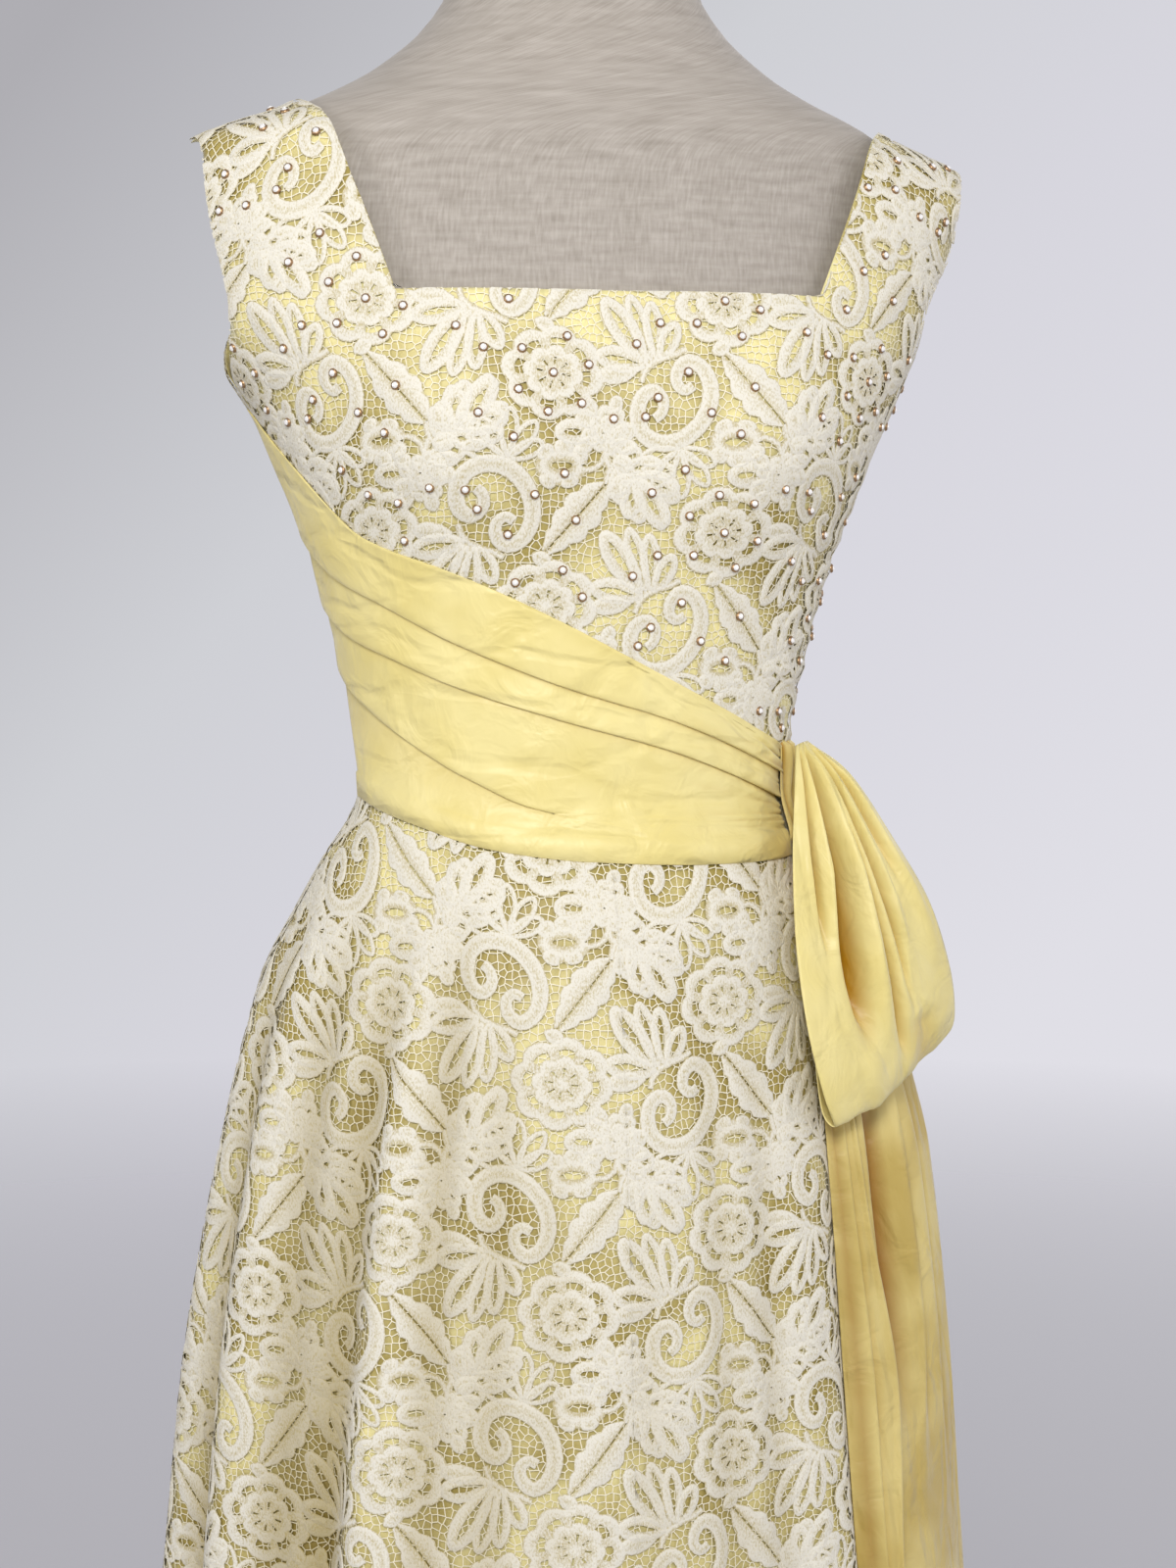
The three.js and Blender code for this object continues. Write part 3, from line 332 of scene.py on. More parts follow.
def smoothstep(x, low, high):
    t = np.clip((x - low) / (high - low), 0, 1)
    return t * t * (3 - 2 * t)


def wrapped(angle):
    return (np.asarray(angle, float) + 180) % 360 - 180


def curve_through(xs, ys):
    """A smooth curve through points with rising x that never overshoots them."""
    xs, ys = np.asarray(xs, float), np.asarray(ys, float)
    steps = np.diff(ys) / np.diff(xs)
    before, after = np.concatenate([steps[:1], steps]), np.concatenate([steps, steps[-1:]])
    bends = before * after <= 0
    slopes = np.where(bends, 0, 2 * before * after / np.where(bends, 1, before + after))

    def value(x):
        x = np.clip(x, xs[0], xs[-1])
        i = np.clip(np.searchsorted(xs, x, side="right") - 1, 0, len(xs) - 2)
        span = xs[i + 1] - xs[i]
        t = (x - xs[i]) / span
        lean = slopes[i] * t * (1 - t) ** 2 - slopes[i + 1] * t * t * (1 - t)
        return ys[i] + (ys[i + 1] - ys[i]) * t * t * (3 - 2 * t) + span * lean

    return value


def table_curves(columns, rows):
    """One curve for each later column of a table, over its first column."""
    rows = sorted(rows)
    first = [row[0] for row in rows]
    return {name: curve_through(first, [row[i] for row in rows]) for i, name in enumerate(columns) if i}


def through_four(p, a, b, n, t):
    """A smooth step from a to b that heads as its neighbours p and n say."""
    return a + t * (b - p) / 2 + t**2 * (p - 2.5 * a + 2 * b - n / 2) + t**3 * (3 * (a - b) + n - p) / 2


def spline(points, count):
    """A smooth line of count points through the given ones."""
    points = np.asarray(points, float)
    ends = np.vstack([2 * points[0] - points[1], points, 2 * points[-1] - points[-2]])
    place = np.linspace(0, len(points) - 1, count)
    i = np.minimum(place.astype(int), len(points) - 2)
    return through_four(ends[i], ends[i + 1], ends[i + 2], ends[i + 3], (place - i)[:, None])


def creases(rows, share, along):
    """How far out creases move a strip of cloth, by the share across it and the place along it."""
    total = 0.0
    for across, width, out, start, end in rows:
        aside = (share - across) / width
        length = end - start
        lasts = smoothstep(along, start, start + 0.15 * length) * smoothstep(end - along, 0, 0.45 * length)
        total = total + out * np.exp(-aside * aside) * lasts
    return total


body_at = table_curves(BODY_COLUMNS, BODY)
waist_at = table_curves(WAIST_COLUMNS, WAIST)["z"]
skirt_at = table_curves(SKIRT_COLUMNS, SKIRT)
sash_at = table_curves(SASH_COLUMNS, SASH)


def heading(angle):
    """Level directions, as an array with x, y, z last."""
    turn = np.radians(angle)
    return np.stack([np.sin(turn), -np.cos(turn), np.zeros_like(turn)], -1)


# ---------- The body's surface ----------
def body_level(points, bare=False):
    """Under 1 inside the body and over 1 outside it."""
    x, y, z = points[..., 0], points[..., 1], points[..., 2]
    half = body_at["form"](z) if bare else np.where(x < 0, body_at["right"](z), body_at["left"](z))
    apart = (np.abs(x) - BUST["apart"]) / BUST["width_x"]
    above = (z - BUST["height"]) / BUST["width_z"]
    rise = BUST["rise"] * np.exp(-apart * apart - above * above) * np.clip(-y / BUST["blend"], 0, 1)
    ahead = np.maximum(0, -y - rise) / body_at["front"](z)
    depth = np.where(y < 0, ahead, np.abs(y) / body_at["back"](z))
    square = body_at["square"](z)
    return (np.abs(x) / half) ** square + depth**square


def meet_body(origins, directions, bare=False):
    """The outermost points of the body on rays."""
    reach, step, halvings = 420, 10, 15
    inside = np.zeros(origins.shape[:-1])
    for distance in np.arange(0, reach, step):
        level = body_level(origins + directions * distance, bare)
        inside = np.where(level < 1, distance, inside)
    outside = inside + step
    for _ in range(halvings):
        middle = (inside + outside) / 2
        within = body_level(origins + directions * middle[..., None], bare) < 1
        inside, outside = np.where(within, middle, inside), np.where(within, outside, middle)
    return origins + directions * outside[..., None]


def body_points(angles, z, bare=False):
    angles, z = np.broadcast_arrays(np.asarray(angles, float), np.asarray(z, float))
    origins = np.stack([np.zeros_like(z), np.zeros_like(z), z], -1)
    return meet_body(origins, heading(angles), bare)


def unit(vectors):
    return vectors / np.linalg.norm(vectors, axis=-1, keepdims=True)


def body_normals(points):
    """The way out of the body. Below the armholes it is level."""
    step = 0.5
    slopes = []
    for axis in range(3):
        shift = np.zeros(3)
        shift[axis] = step
        slopes.append(body_level(points + shift) - body_level(points - shift))
    neck_z = PANELS["bodice_front"]["neck_z"]
    slopes[2] = slopes[2] * smoothstep(points[..., 2], UNDERARM_Z - EASE_BLEND, neck_z)
    return unit(np.stack(slopes, -1))


def bodice_ease(z):
    return mix(BODICE_EASE, SHOULDER_EASE, smoothstep(z, SHOULDER_REST_Z - EASE_BLEND, SHOULDER_REST_Z))


# ---------- The skirt's surface ----------
def fold_out(angle, z):
    """How far out the main folds move the skirt. They grow from their tops to the hem."""
    angles, outs, tops = (np.array(column, float) for column in zip(*FOLDS))
    place = wrapped(angle)
    after = np.searchsorted(angles, place, side="right") % len(angles)
    before = (after - 1) % len(angles)

    def depth(k):
        drop = np.maximum(0, (tops[k] - z) / (tops[k] - HEM_Z))
        return outs[k] * drop**FOLD_GROWTH

    span = (angles[after] - angles[before]) % 360
    t = ((place - angles[before]) % 360) / span
    return mix(depth(before), depth(after), (1 - np.cos(np.pi * t)) / 2)


def crease_out(angle, z):
    """How far out the smaller creases move the skirt."""
    total = 0.0
    for at, width, out, top, bottom in SKIRT_CREASES:
        aside = wrapped(angle - at) / width
        lasts = smoothstep(top - z, 0, CREASE_START)
        lasts = lasts * smoothstep(z, bottom + CREASE_END[0], bottom + CREASE_END[1])
        total = total + out * np.exp(-aside * aside) * lasts
    return total


def skirt_valley(angle, z):
    """How deep a place lies in the skirt's folds, from 0 to 1."""
    # The materials paint shade by this depth.
    return np.clip(-(fold_out(angle, z) + crease_out(angle, z)) / VALLEY_FULL["skirt"], 0, 1)


def mean_skirt_radius(angle, z):
    radii = np.stack([skirt_at[name](z) for name in SKIRT_COLUMNS[1:]])
    place = (np.asarray(angle, float) % 360) / (360 / len(radii))
    i = place.astype(int)
    near = (np.take_along_axis(radii, ((i + k) % len(radii))[None], 0)[0] for k in (-1, 0, 1, 2))
    return through_four(*near, place - i)


def skirt_points(angles, z, out=0.0, folded=1.0):
    """Points on the skirt's mean surface, moved out level."""
    angles, z = np.broadcast_arrays(np.asarray(angles, float), np.asarray(z, float))
    share = smoothstep((waist_at(wrapped(angles)) - z) / SKIRT_TAKES_OVER, 0, 1)
    radius = mean_skirt_radius(angles, z) + folded * (fold_out(angles, z) + crease_out(angles, z))
    near = share < 1
    if near.any():
        body = body_points(angles[near], z[near])
        at_body = np.hypot(body[..., 0], body[..., 1]) + SKIRT_SEAM_OFFSET
        radius[near] = mix(at_body, radius[near], share[near])
    points = heading(angles) * (radius + out)[..., None]
    points[..., 2] = z
    return points


# ---------- Cloth as grids ----------
class Cloth:
    """A grid of points from the bottom row up, with columns to the wearer's left, its way out, and where
    each point lies in the flat cloth: u across from the grain line and v up it."""

    def __init__(self, points, flat, normals=None):
        self.points = points
        self.flat = flat
        if normals is None:
            across, up = np.gradient(points, axis=1), np.gradient(points, axis=0)
            normals = unit(np.cross(across, up))
        self.normals = normals

    def moved(self, out):
        return self.points + self.normals * (out[..., None] if np.ndim(out) else out)


def flat_places(u, v):
    return np.stack(np.broadcast_arrays(u, v), -1)


def along_rows(points, start=0):
    """Distances along each row from one of its columns."""
    steps = np.linalg.norm(np.diff(points, axis=1), axis=2)
    run = np.concatenate([np.zeros((len(points), 1)), np.cumsum(steps, 1)], 1)
    return run - run[:, start : start + 1]


def skirt_cloth(panel, levels=None, bottom=HEM_Z):
    """A skirt panel, with rows that follow the waist seam and the hem, or level ones at given heights."""
    facts = SKIRT_PANELS[panel]
    columns = int(round((facts["to"] - facts["from"]) / SKIRT_GRID["degrees"])) + 1
    angles = np.linspace(facts["from"], facts["to"], columns)[None]
    if levels is None:
        share = np.linspace(0, 1, SKIRT_GRID["rows"])[:, None] ** SKIRT_GRID["crowding"]
        z = mix(bottom, waist_at(wrapped(angles)), share)
    else:
        z = np.asarray(levels, float)[:, None] * np.ones_like(angles)
    angles = angles * np.ones_like(z)
    points = skirt_points(angles, z)
    middle = int(np.argmin(np.abs(angles[0] - facts["middle"])))
    return Cloth(points, flat_places(along_rows(points, middle), z)), angles


def side_angles(z, panel):
    """The angle of the panel's side from its middle: the side seam, and above it the armhole's edge."""
    climb = np.clip((z - UNDERARM_Z) / (panel["neck_z"] - UNDERARM_Z), 0, 1)
    return mix(SIDE, panel["armhole"], 1 - (1 - climb) ** 2)


def ripple(points):
    """Soft unevenness of cloth that is worn, ruching at the wearer's left, and the bust darts, in
    millimetres out."""
    x, y, z = points[..., 0], points[..., 1], points[..., 2]
    soft = 0.5 * np.sin(x / 23 + 1.3 * np.sin(z / 41)) * np.sin(z / 31 + 0.8 * np.sin(x / 37))
    soft += 0.35 * np.sin(x / 11 + z / 19 + 2) * np.sin(z / 13 - x / 29)
    ruched = smoothstep(x, 62, 104) * smoothstep(1240 - z, 0, 50) * smoothstep(z, 1040, 1080)
    soft += 0.9 * ruched * np.sin(z / 2.9 + 1.4 * np.sin(y / 15) + x / 9)
    aside = (np.abs(x) - DART["x"]) / DART["width"]
    dart = smoothstep(z, DART["bottom"], DART["bottom"] + 14) * smoothstep(DART["top"] - z, 0, 26)
    return soft - DART["depth"] * np.exp(-aside * aside) * dart * (y < 0)


def strap_cloth(panel, neck, neck_u, side):
    """The strap that goes on from the neck's end on one side of a bodice panel, up to the shoulder seam."""
    x0 = neck[:, 0]
    inner, outer = STRAPS["right" if x0.mean() < 0 else "left"]
    pinned = 0 if side > 0 else len(neck) - 1
    outwards = np.linspace(0, 1, len(neck))[::side]
    x1 = np.sign(x0.mean()) * mix(inner, outer, outwards)
    climb = np.linspace(0, 1, BODICE_GRID["strap_rows"])[:, None]
    x = mix(x0[None], x1[None], climb)
    turn = np.radians(90 * climb) * np.ones_like(x)
    facing, neck_z = panel["facing"], panel["neck_z"]
    origins = np.stack([x, np.full_like(x, facing * 0.15), np.full_like(x, neck_z)], -1)
    points = meet_body(origins, np.stack([np.zeros_like(x), facing * np.cos(turn), np.sin(turn)], -1))
    rise = np.linalg.norm(np.diff(points, axis=0), axis=2).mean(1)
    v = neck_z + np.concatenate([[0], np.cumsum(rise)])
    sideways = -facing * (points[:, pinned, 0] - points[0, pinned, 0])
    u = along_rows(points, pinned) + (neck_u[pinned] + sideways)[:, None]
    return Cloth(points, flat_places(u, v[:, None]), body_normals(points))


def bodice_cloths(name, level_rows=False):
    """A bodice panel's body, with the angles of its columns, and its straps."""
    panel = PANELS[name]
    low, high = panel["shares"]
    corner, neck_z = panel["corner"], panel["neck_z"]
    edges = [share for share in (-1, -corner, 0, corner, 1) if low <= share <= high]
    runs = []
    for a, b in zip(edges, edges[1:]):
        under_strap = 1 in (-a, b)
        count = BODICE_GRID["strap_columns" if under_strap else "columns"]
        runs.append(np.linspace(a, b, count)[:-1])
    shares = np.concatenate([*runs, [edges[-1]]])
    start = panel["middle"] + shares[None] * SIDE
    waist = np.full_like(start, BODICE_WAIST_Z)
    if not level_rows:
        waist = waist_at(wrapped(start)) + BODICE_OVER_WAIST
    climb = np.linspace(0, 1, BODICE_GRID["armhole_rows"])[1:, None]
    z = np.vstack([
        mix(waist, UNDERARM_Z, np.linspace(0, 1, BODICE_GRID["rows"])[:, None]),
        mix(UNDERARM_Z, neck_z, climb) * np.ones_like(start),
    ])
    angles = panel["middle"] + shares[None] * side_angles(z, panel)
    points = body_points(angles, z)
    u = along_rows(points, int(np.argmin(np.abs(shares))))
    cloths = [(Cloth(points, flat_places(u, z), body_normals(points)), angles)]
    for side in (-1, 1):
        chosen = np.flatnonzero(shares * side >= corner - 1e-6)
        if len(chosen):
            cloths.append((strap_cloth(panel, points[-1, chosen], u[-1, chosen], side), None))
    return cloths


def grid_corners(bm, columns, rows):
    """Adds a grid of that many columns and rows of faces, and gives each corner with its column and row."""
    made = bmesh.ops.create_grid(bm, x_segments=columns, y_segments=rows, size=1)["verts"]
    return [(v, round((v.co.x + 1) / 2 * columns), round((v.co.y + 1) / 2 * rows)) for v in made]


def start_mesh():
    """A new mesh with a layer for the place of each point in the flat cloth, and one for how deep it lies
    in a fold, from 0 to 1."""
    bm = bmesh.new()
    # The valley layer sets how much painted shade the materials lay on each point.
    bm.verts.layers.float.new("valley")
    bm.verts.layers.float_vector.new("flat")
    return bm


def grid_into(bm, points, flat, valleys=None):
    """Adds one grid of cloth to a mesh."""
    rows, columns = points.shape[:2]
    valleys = np.zeros((rows, columns)) if valleys is None else valleys
    points, flat, valleys = points.tolist(), flat.tolist(), valleys.tolist()
    valley_layer, flat_layer = bm.verts.layers.float["valley"], bm.verts.layers.float_vector["flat"]
    for vert, c, r in grid_corners(bm, columns - 1, rows - 1):
        vert.co = points[r][c]
        vert[flat_layer] = (*flat[r][c], 0)
        vert[valley_layer] = valleys[r][c]


def finish_piece(name, bm, key, smooth=True, merge=0.02):
    """Turns a mesh in millimetres into a piece in metres, with its flat places as a UV map in metres."""
    if merge:
        bmesh.ops.remove_doubles(bm, verts=bm.verts, dist=merge)
    bmesh.ops.scale(bm, vec=(MM, MM, MM), verts=bm.verts)
    mesh = bpy.data.meshes.new(name)
    bm.to_mesh(mesh)
    bm.free()
    flat = np.empty(len(mesh.vertices) * 3, np.float32)
    mesh.attributes["flat"].data.foreach_get("vector", flat)
    corners = np.empty(len(mesh.loops), np.int32)
    mesh.loops.foreach_get("vertex_index", corners)
    layer = mesh.uv_layers.new(name="flat_cloth")
    layer.data.foreach_set("uv", (flat.reshape(-1, 3)[corners, :2] * MM).ravel())
    mesh.attributes.remove(mesh.attributes["flat"])
    mesh.polygons.foreach_set("use_smooth", [smooth] * len(mesh.polygons))
    mesh.materials.append(material_of(key))
    piece = bpy.data.objects.new(name, mesh)
    bpy.context.scene.collection.objects.link(piece)
    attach(piece, BODY_ROOT)
    return piece


def finish_sheet(piece, node, held, rests_on, wall=None, offset=-1.0):
    """Thickens a piece of cloth when it is given a wall, and puts it in the place of its node."""
    if wall:
        thickness = piece.modifiers.new("cloth thickness", "SOLIDIFY")
        thickness.thickness = size(wall)
        thickness.offset = offset
        thickness.use_rim = True
    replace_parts(piece, node)
    list(rests_on)


# ---------- Materials ----------
def linear(hex_colour):
    """An sRGB hex colour as linear RGBA."""
    values = [int(hex_colour[i : i + 2], 16) / 255 for i in (0, 2, 4)]
    return tuple(v / 12.92 if v <= 0.04045 else ((v + 0.055) / 1.055) ** 2.4 for v in values) + (1.0,)


def add(tree, kind, output, inputs=None, stops=(), **settings):
    """Adds a shader node with its settings, its inputs as values or links, and the stops of a colour ramp.
    Gives the node's output of that name or place."""
    made = tree.nodes.new(kind)
    for key, value in settings.items():
        setattr(made, key, value)
    for i, (place, shade) in enumerate(stops):
        elements = made.color_ramp.elements
        stop = elements[i] if i < len(elements) else elements.new(place)
        stop.position = place
        stop.color = shade
    for key, value in (inputs or {}).items():
        if isinstance(value, bpy.types.NodeSocket):
            tree.links.new(value, made.inputs[key])
        else:
            made.inputs[key].default_value = value
    return made.outputs[output]


def new_material(name, **values):
    """A material, its node tree and its shader, with values for the shader's own sockets."""
    material = bpy.data.materials.new(name)
    material.use_nodes = True
    shader = material.node_tree.nodes["Principled BSDF"]
    for key, value in values.items():
        shader.inputs[key.replace("_", " ")].default_value = value
    return material, material.node_tree, shader


def length_property(name, description, default):
    return bpy.props.FloatProperty(
        name=name, description=description, default=default, min=0.0001, unit="LENGTH"
    )


def colour_property(name, description, hex_colour):
    return bpy.props.FloatVectorProperty(
        name=name, description=description, default=linear(hex_colour)[:3], min=0, max=1, subtype="COLOR"
    )


class GownSizes(bpy.types.PropertyGroup):
    """Sizes of the gown's details that a user may change"""

    net_cell: length_property("Net cell", "Width of one cell of the net", 0.0037)
    net_thread: length_property("Net thread", "Width of the net's threads", 0.00048)
    lining_wall: length_property("Lining", "Thickness of the satin underdress", 0.0006)
    sash_wall: length_property("Sash cloth", "Thickness of the sash's satin", 0.00058)
    motif_rise: length_property("Motif rise", "Height of the worked motifs over the net", 0.0004)
    stone_scale: bpy.props.FloatProperty(
        name="Stones", description="Size of the cut stones and their settings", default=1.0, min=0.2,
        subtype="FACTOR",
    )


class GownColours(bpy.types.PropertyGroup):
    """Colours of the gown, its form and its stand that a user may change"""

    satin: colour_property("Sash satin", "Satin of the sash and bow", "E8D994")
    satin_deep: colour_property("Sash satin, deep", "Satin of the sash where the dye took more", "E1D084")
    # Painted shade for the valleys of the sash, its gather and the loop, and under each pleat's lip.
    satin_valley: colour_property("Sash satin, valleys", "Satin of the sash deep in its folds", "AF8012")
    # The bow ends' colours are the sash's satin painted darker and deeper in hue: painted shade for ends that
    # send back less light than the sash.
    ends: colour_property("Bow ends", "Satin that hangs along its grain and looks deeper", "D6C27A")
    ends_deep: colour_property("Bow ends, deep", "Darker places of the hanging satin", "BEA557")
    # Painted shade for the valleys of the bow ends' creases.
    ends_valley: colour_property("Bow ends, valleys", "Satin of the bow's ends deep in folds", "94660A")
    lining: colour_property("Lining satin", "Satin of the underdress", "E6DB9C")
    # The lining's deep colour is painted shade, laid by the cloud noise in soft patches at random over the
    # underdress.
    lining_deep: colour_property("Lining satin, deep", "Satin of the underdress, darker", "A8964F")
    # Painted shade for the valleys of the skirt's folds, on the lining.
    lining_valley: colour_property("Lining, valleys", "Satin of the underdress deep in its folds", "79641F")
    lace: colour_property("Lace", "Worked motifs of the lace", "E1DCCD")
    lace_deep: colour_property("Lace, deep", "Worked motifs, darker places", "BFB289")
    # Painted shade for the valleys of the skirt's folds, on the lace and its net.
    lace_valley: colour_property("Lace, valleys", "Lace deep in the skirt's folds", "9C8845")
    net: colour_property("Net", "Threads of the net", "EAE2C6")
    jersey: colour_property("Form cover", "Jersey of the dress form", "B2AAA0")
    jersey_deep: colour_property("Form cover, deep", "Jersey of the dress form, darker wales", "958D82")
    cap: colour_property("Neck cap", "Moulded cap of the form's neck", "8A8078")
    setting: colour_property("Settings", "Brass settings of the stones", "A98A68")
    floor: colour_property("Floor", "Painted floor under the stand", "C9C8CB")


def colour(name):
    return (*getattr(bpy.context.scene.gown_colours, name), 1.0)


def size(name):
    return getattr(bpy.context.scene.gown_sizes, name)


def paint_valley_shade(tree, shade, valley, most=1.0):
    """Paints shade: turns a colour towards a darker, deeper one in the valleys of folds, where the cloth is
    shaded and lights itself.
    """
    depth = add(tree, "ShaderNodeAttribute", "Fac", attribute_name="valley")
    share = add(tree, "ShaderNodeMath", "Value", {0: depth, 1: most}, operation="MULTIPLY")
    return add(tree, "ShaderNodeMix", 2, {0: share, 6: shade, 7: valley}, data_type="RGBA")


def satin_material(name, key, rough, patch):
    """Acetate satin, warp faced: long floats give it broad soft highlights, and it keeps fine press creases
    along the strip. Its own threads are under 0.1 mm, too fine to show, so a weave of 1 mm stands for
    them."""
    material, tree, shader = new_material(name, Roughness=rough, Sheen_Weight=0.2, Sheen_Roughness=0.4)
    flat = add(tree, "ShaderNodeUVMap", "UV", uv_map="flat_cloth")
    place = add(tree, "ShaderNodeTexCoord", "Object")
    cloud = add(tree, "ShaderNodeTexNoise", "Fac", {"Vector": place, "Scale": 1 / patch, "Detail": 3.0})
    # On the lining this cloud lays painted shade in soft patches; on the sash and the ends it is uneven tone.
    stops = ((0.38, colour(key + "_deep")), (0.62, colour(key)))
    shade = add(tree, "ShaderNodeValToRGB", "Color", {"Fac": cloud}, stops)
    # Painted shade: in fold valleys the satin's colour turns towards its valley shade colour.
    tree.links.new(paint_valley_shade(tree, shade, colour(key + "_valley")), shader.inputs["Base Color"])
    # Press lines lie about 17 mm apart across the strip and 60 mm apart along it.
    long_way = add(tree, "ShaderNodeMapping", "Vector", {"Vector": flat, "Scale": (60.0, 17.0, 1.0)})
    wander = add(tree, "ShaderNodeTexNoise", "Color", {"Vector": long_way, "Scale": 1.3, "Detail": 2.0})
    bent = add(tree, "ShaderNodeMix", 1, {0: 0.4, 4: long_way, 5: wander}, data_type="VECTOR")
    pressed = add(
        tree, "ShaderNodeTexVoronoi", "Distance", {"Vector": bent, "Scale": 1.0},
        voronoi_dimensions="2D", feature="DISTANCE_TO_EDGE",
    )
    line = add(
        tree, "ShaderNodeMapRange", "Result", {"Value": pressed, "From Max": 0.16},
        interpolation_type="SMOOTHSTEP",
    )
    dents = add(
        tree, "ShaderNodeTexNoise", "Fac", {"Vector": place, "Scale": 38.0, "Detail": 3.0, "Distortion": 1.2}
    )
    weave = add(tree, "ShaderNodeTexNoise", "Fac", {"Vector": place, "Scale": 1000.0, "Detail": 1.0})
    under = {}
    for height, strength, depth in ((line, 0.8, 0.0009), (dents, 0.75, 0.003), (weave, 0.1, 0.0002)):
        inputs = {"Height": height, "Strength": strength, "Distance": depth, **under}
        under = {"Normal": add(tree, "ShaderNodeBump", "Normal", inputs)}
    tree.links.new(under["Normal"], shader.inputs["Normal"])
    return material


def motif_material():
    """Cotton and rayon lace, darned and re-embroidered: a raised cord round a darned middle, both nearly
    solid. The stitches are 0.3 mm apart, and they are drawn about 1 mm apart so that they show."""
    material, tree, shader = new_material(
        "re-embroidered cotton lace", Roughness=0.85, Specular_IOR_Level=0.25
    )
    flat = add(tree, "ShaderNodeUVMap", "UV", uv_map="flat_cloth")
    worked = add(tree, "ShaderNodeAttribute", "Fac", attribute_name="worked")
    stitch = add(tree, "ShaderNodeMapping", "Vector", {"Vector": flat, "Scale": (1150.0, 640.0, 1.0)})
    darned = add(
        tree, "ShaderNodeTexNoise", "Fac", {"Vector": stitch, "Scale": 1.0, "Detail": 2.0, "Roughness": 0.65}
    )
    fullness = add(tree, "ShaderNodeMath", "Value", {0: worked, 1: 0.36, 2: darned}, operation="MULTIPLY_ADD")
    stops = ((0.5, colour("lace_deep")), (0.8, colour("lace")))
    shade = add(tree, "ShaderNodeValToRGB", "Color", {"Fac": fullness}, stops)
    # Painted shade in the skirt's fold valleys, at most four fifths of the way to the shade colour.
    tree.links.new(paint_valley_shade(tree, shade, colour("lace_valley"), 0.8), shader.inputs["Base Color"])
    raised = add(tree, "ShaderNodeBump", "Normal", {"Height": darned, "Strength": 0.7, "Distance": 0.0005})
    tree.links.new(raised, shader.inputs["Normal"])
    return material


def net_material():
    """Cotton bobbin net: threads round small uneven cells, seen through between them. The real threads are
    0.2 mm thick, and they are drawn 0.5 mm wide so that they show."""
    material, tree, shader = new_material("cotton bobbin net", Roughness=0.85, Specular_IOR_Level=0.2)
    flat = add(tree, "ShaderNodeUVMap", "UV", uv_map="flat_cloth")
    edge = add(
        tree, "ShaderNodeTexVoronoi", "Distance",
        {"Vector": flat, "Scale": 1 / size("net_cell"), "Randomness": 0.7},
        voronoi_dimensions="2D", feature="DISTANCE_TO_EDGE",
    )
    half_thread = size("net_thread") / size("net_cell") / 2
    thread = add(
        tree, "ShaderNodeMapRange", "Result",
        {
            "Value": edge, "From Min": half_thread * 0.7, "From Max": half_thread * 1.4,
            "To Min": 1.0, "To Max": 0.0,
        },
    )
    # Painted shade on the net's threads in the skirt's fold valleys.
    shade = paint_valley_shade(tree, colour("net"), colour("lace_valley"), 0.6)
    tree.links.new(shade, shader.inputs["Base Color"])
    tree.links.new(thread, shader.inputs["Alpha"])
    return material


def jersey_material():
    """Cotton jersey stretched over a padded form: fine upright wales and faint level slubs, no gloss.
    The real wales are 0.7 mm apart, and they are drawn 1.4 mm apart so that they show."""
    material, tree, shader = new_material(
        "cotton jersey, stretched", Roughness=0.95, Specular_IOR_Level=0.15, Sheen_Weight=0.2
    )
    flat = add(tree, "ShaderNodeUVMap", "UV", uv_map="flat_cloth")
    upright = add(tree, "ShaderNodeMapping", "Vector", {"Vector": flat, "Scale": (700.0, 110.0, 1.0)})
    level = add(tree, "ShaderNodeMapping", "Vector", {"Vector": flat, "Scale": (45.0, 260.0, 1.0)})
    wales = add(tree, "ShaderNodeTexNoise", "Fac", {"Vector": upright, "Scale": 1.0, "Detail": 2.0})
    slubs = add(tree, "ShaderNodeTexNoise", "Fac", {"Vector": level, "Scale": 1.0, "Detail": 4.0})
    both = add(tree, "ShaderNodeMath", "Value", {0: wales, 1: slubs}, operation="ADD")
    half = add(tree, "ShaderNodeMath", "Value", {0: both, 1: 0.5}, operation="MULTIPLY")
    stops = ((0.3, colour("jersey_deep")), (0.66, colour("jersey")))
    shade = add(tree, "ShaderNodeValToRGB", "Color", {"Fac": half}, stops)
    tree.links.new(shade, shader.inputs["Base Color"])
    raised = add(tree, "ShaderNodeBump", "Normal", {"Height": half, "Strength": 0.35, "Distance": 0.0005})
    tree.links.new(raised, shader.inputs["Normal"])
    return material


def steel_material(name, hex_colour, rough):
    """Mild steel, brushed and lacquered: grey with soft streaks in its gloss."""
    material, tree, shader = new_material(name, Base_Color=linear(hex_colour), Metallic=1.0)
    place = add(tree, "ShaderNodeTexCoord", "Object")
    streak = add(tree, "ShaderNodeTexNoise", "Fac", {"Vector": place, "Scale": 220.0, "Detail": 3.0})
    spread = {"Value": streak, "To Min": rough - 0.06, "To Max": rough + 0.08}
    tree.links.new(add(tree, "ShaderNodeMapRange", "Result", spread), shader.inputs["Roughness"])
    return material


def cap_material():
    """Moulded ABS: matt grown from a spark-eroded mould, with a weak even gloss."""
    return new_material("moulded ABS cap", Base_Color=colour("cap"), Roughness=0.55)[0]


def stone_material():
    """Cut lead glass with foil behind it: bright, with sharp small highlights from its polished top."""
    return new_material(
        "cut lead glass, foiled", Base_Color=linear("FBF8F4"), Roughness=0.12, Metallic=0.25,
        Coat_Weight=1.0, Coat_Roughness=0.03,
    )[0]


def setting_material():
    """Stamped brass, tarnished: dull and pinkish, a dark ring round each stone."""
    return new_material(
        "tarnished brass setting", Base_Color=colour("setting"), Roughness=0.42, Metallic=1.0
    )[0]


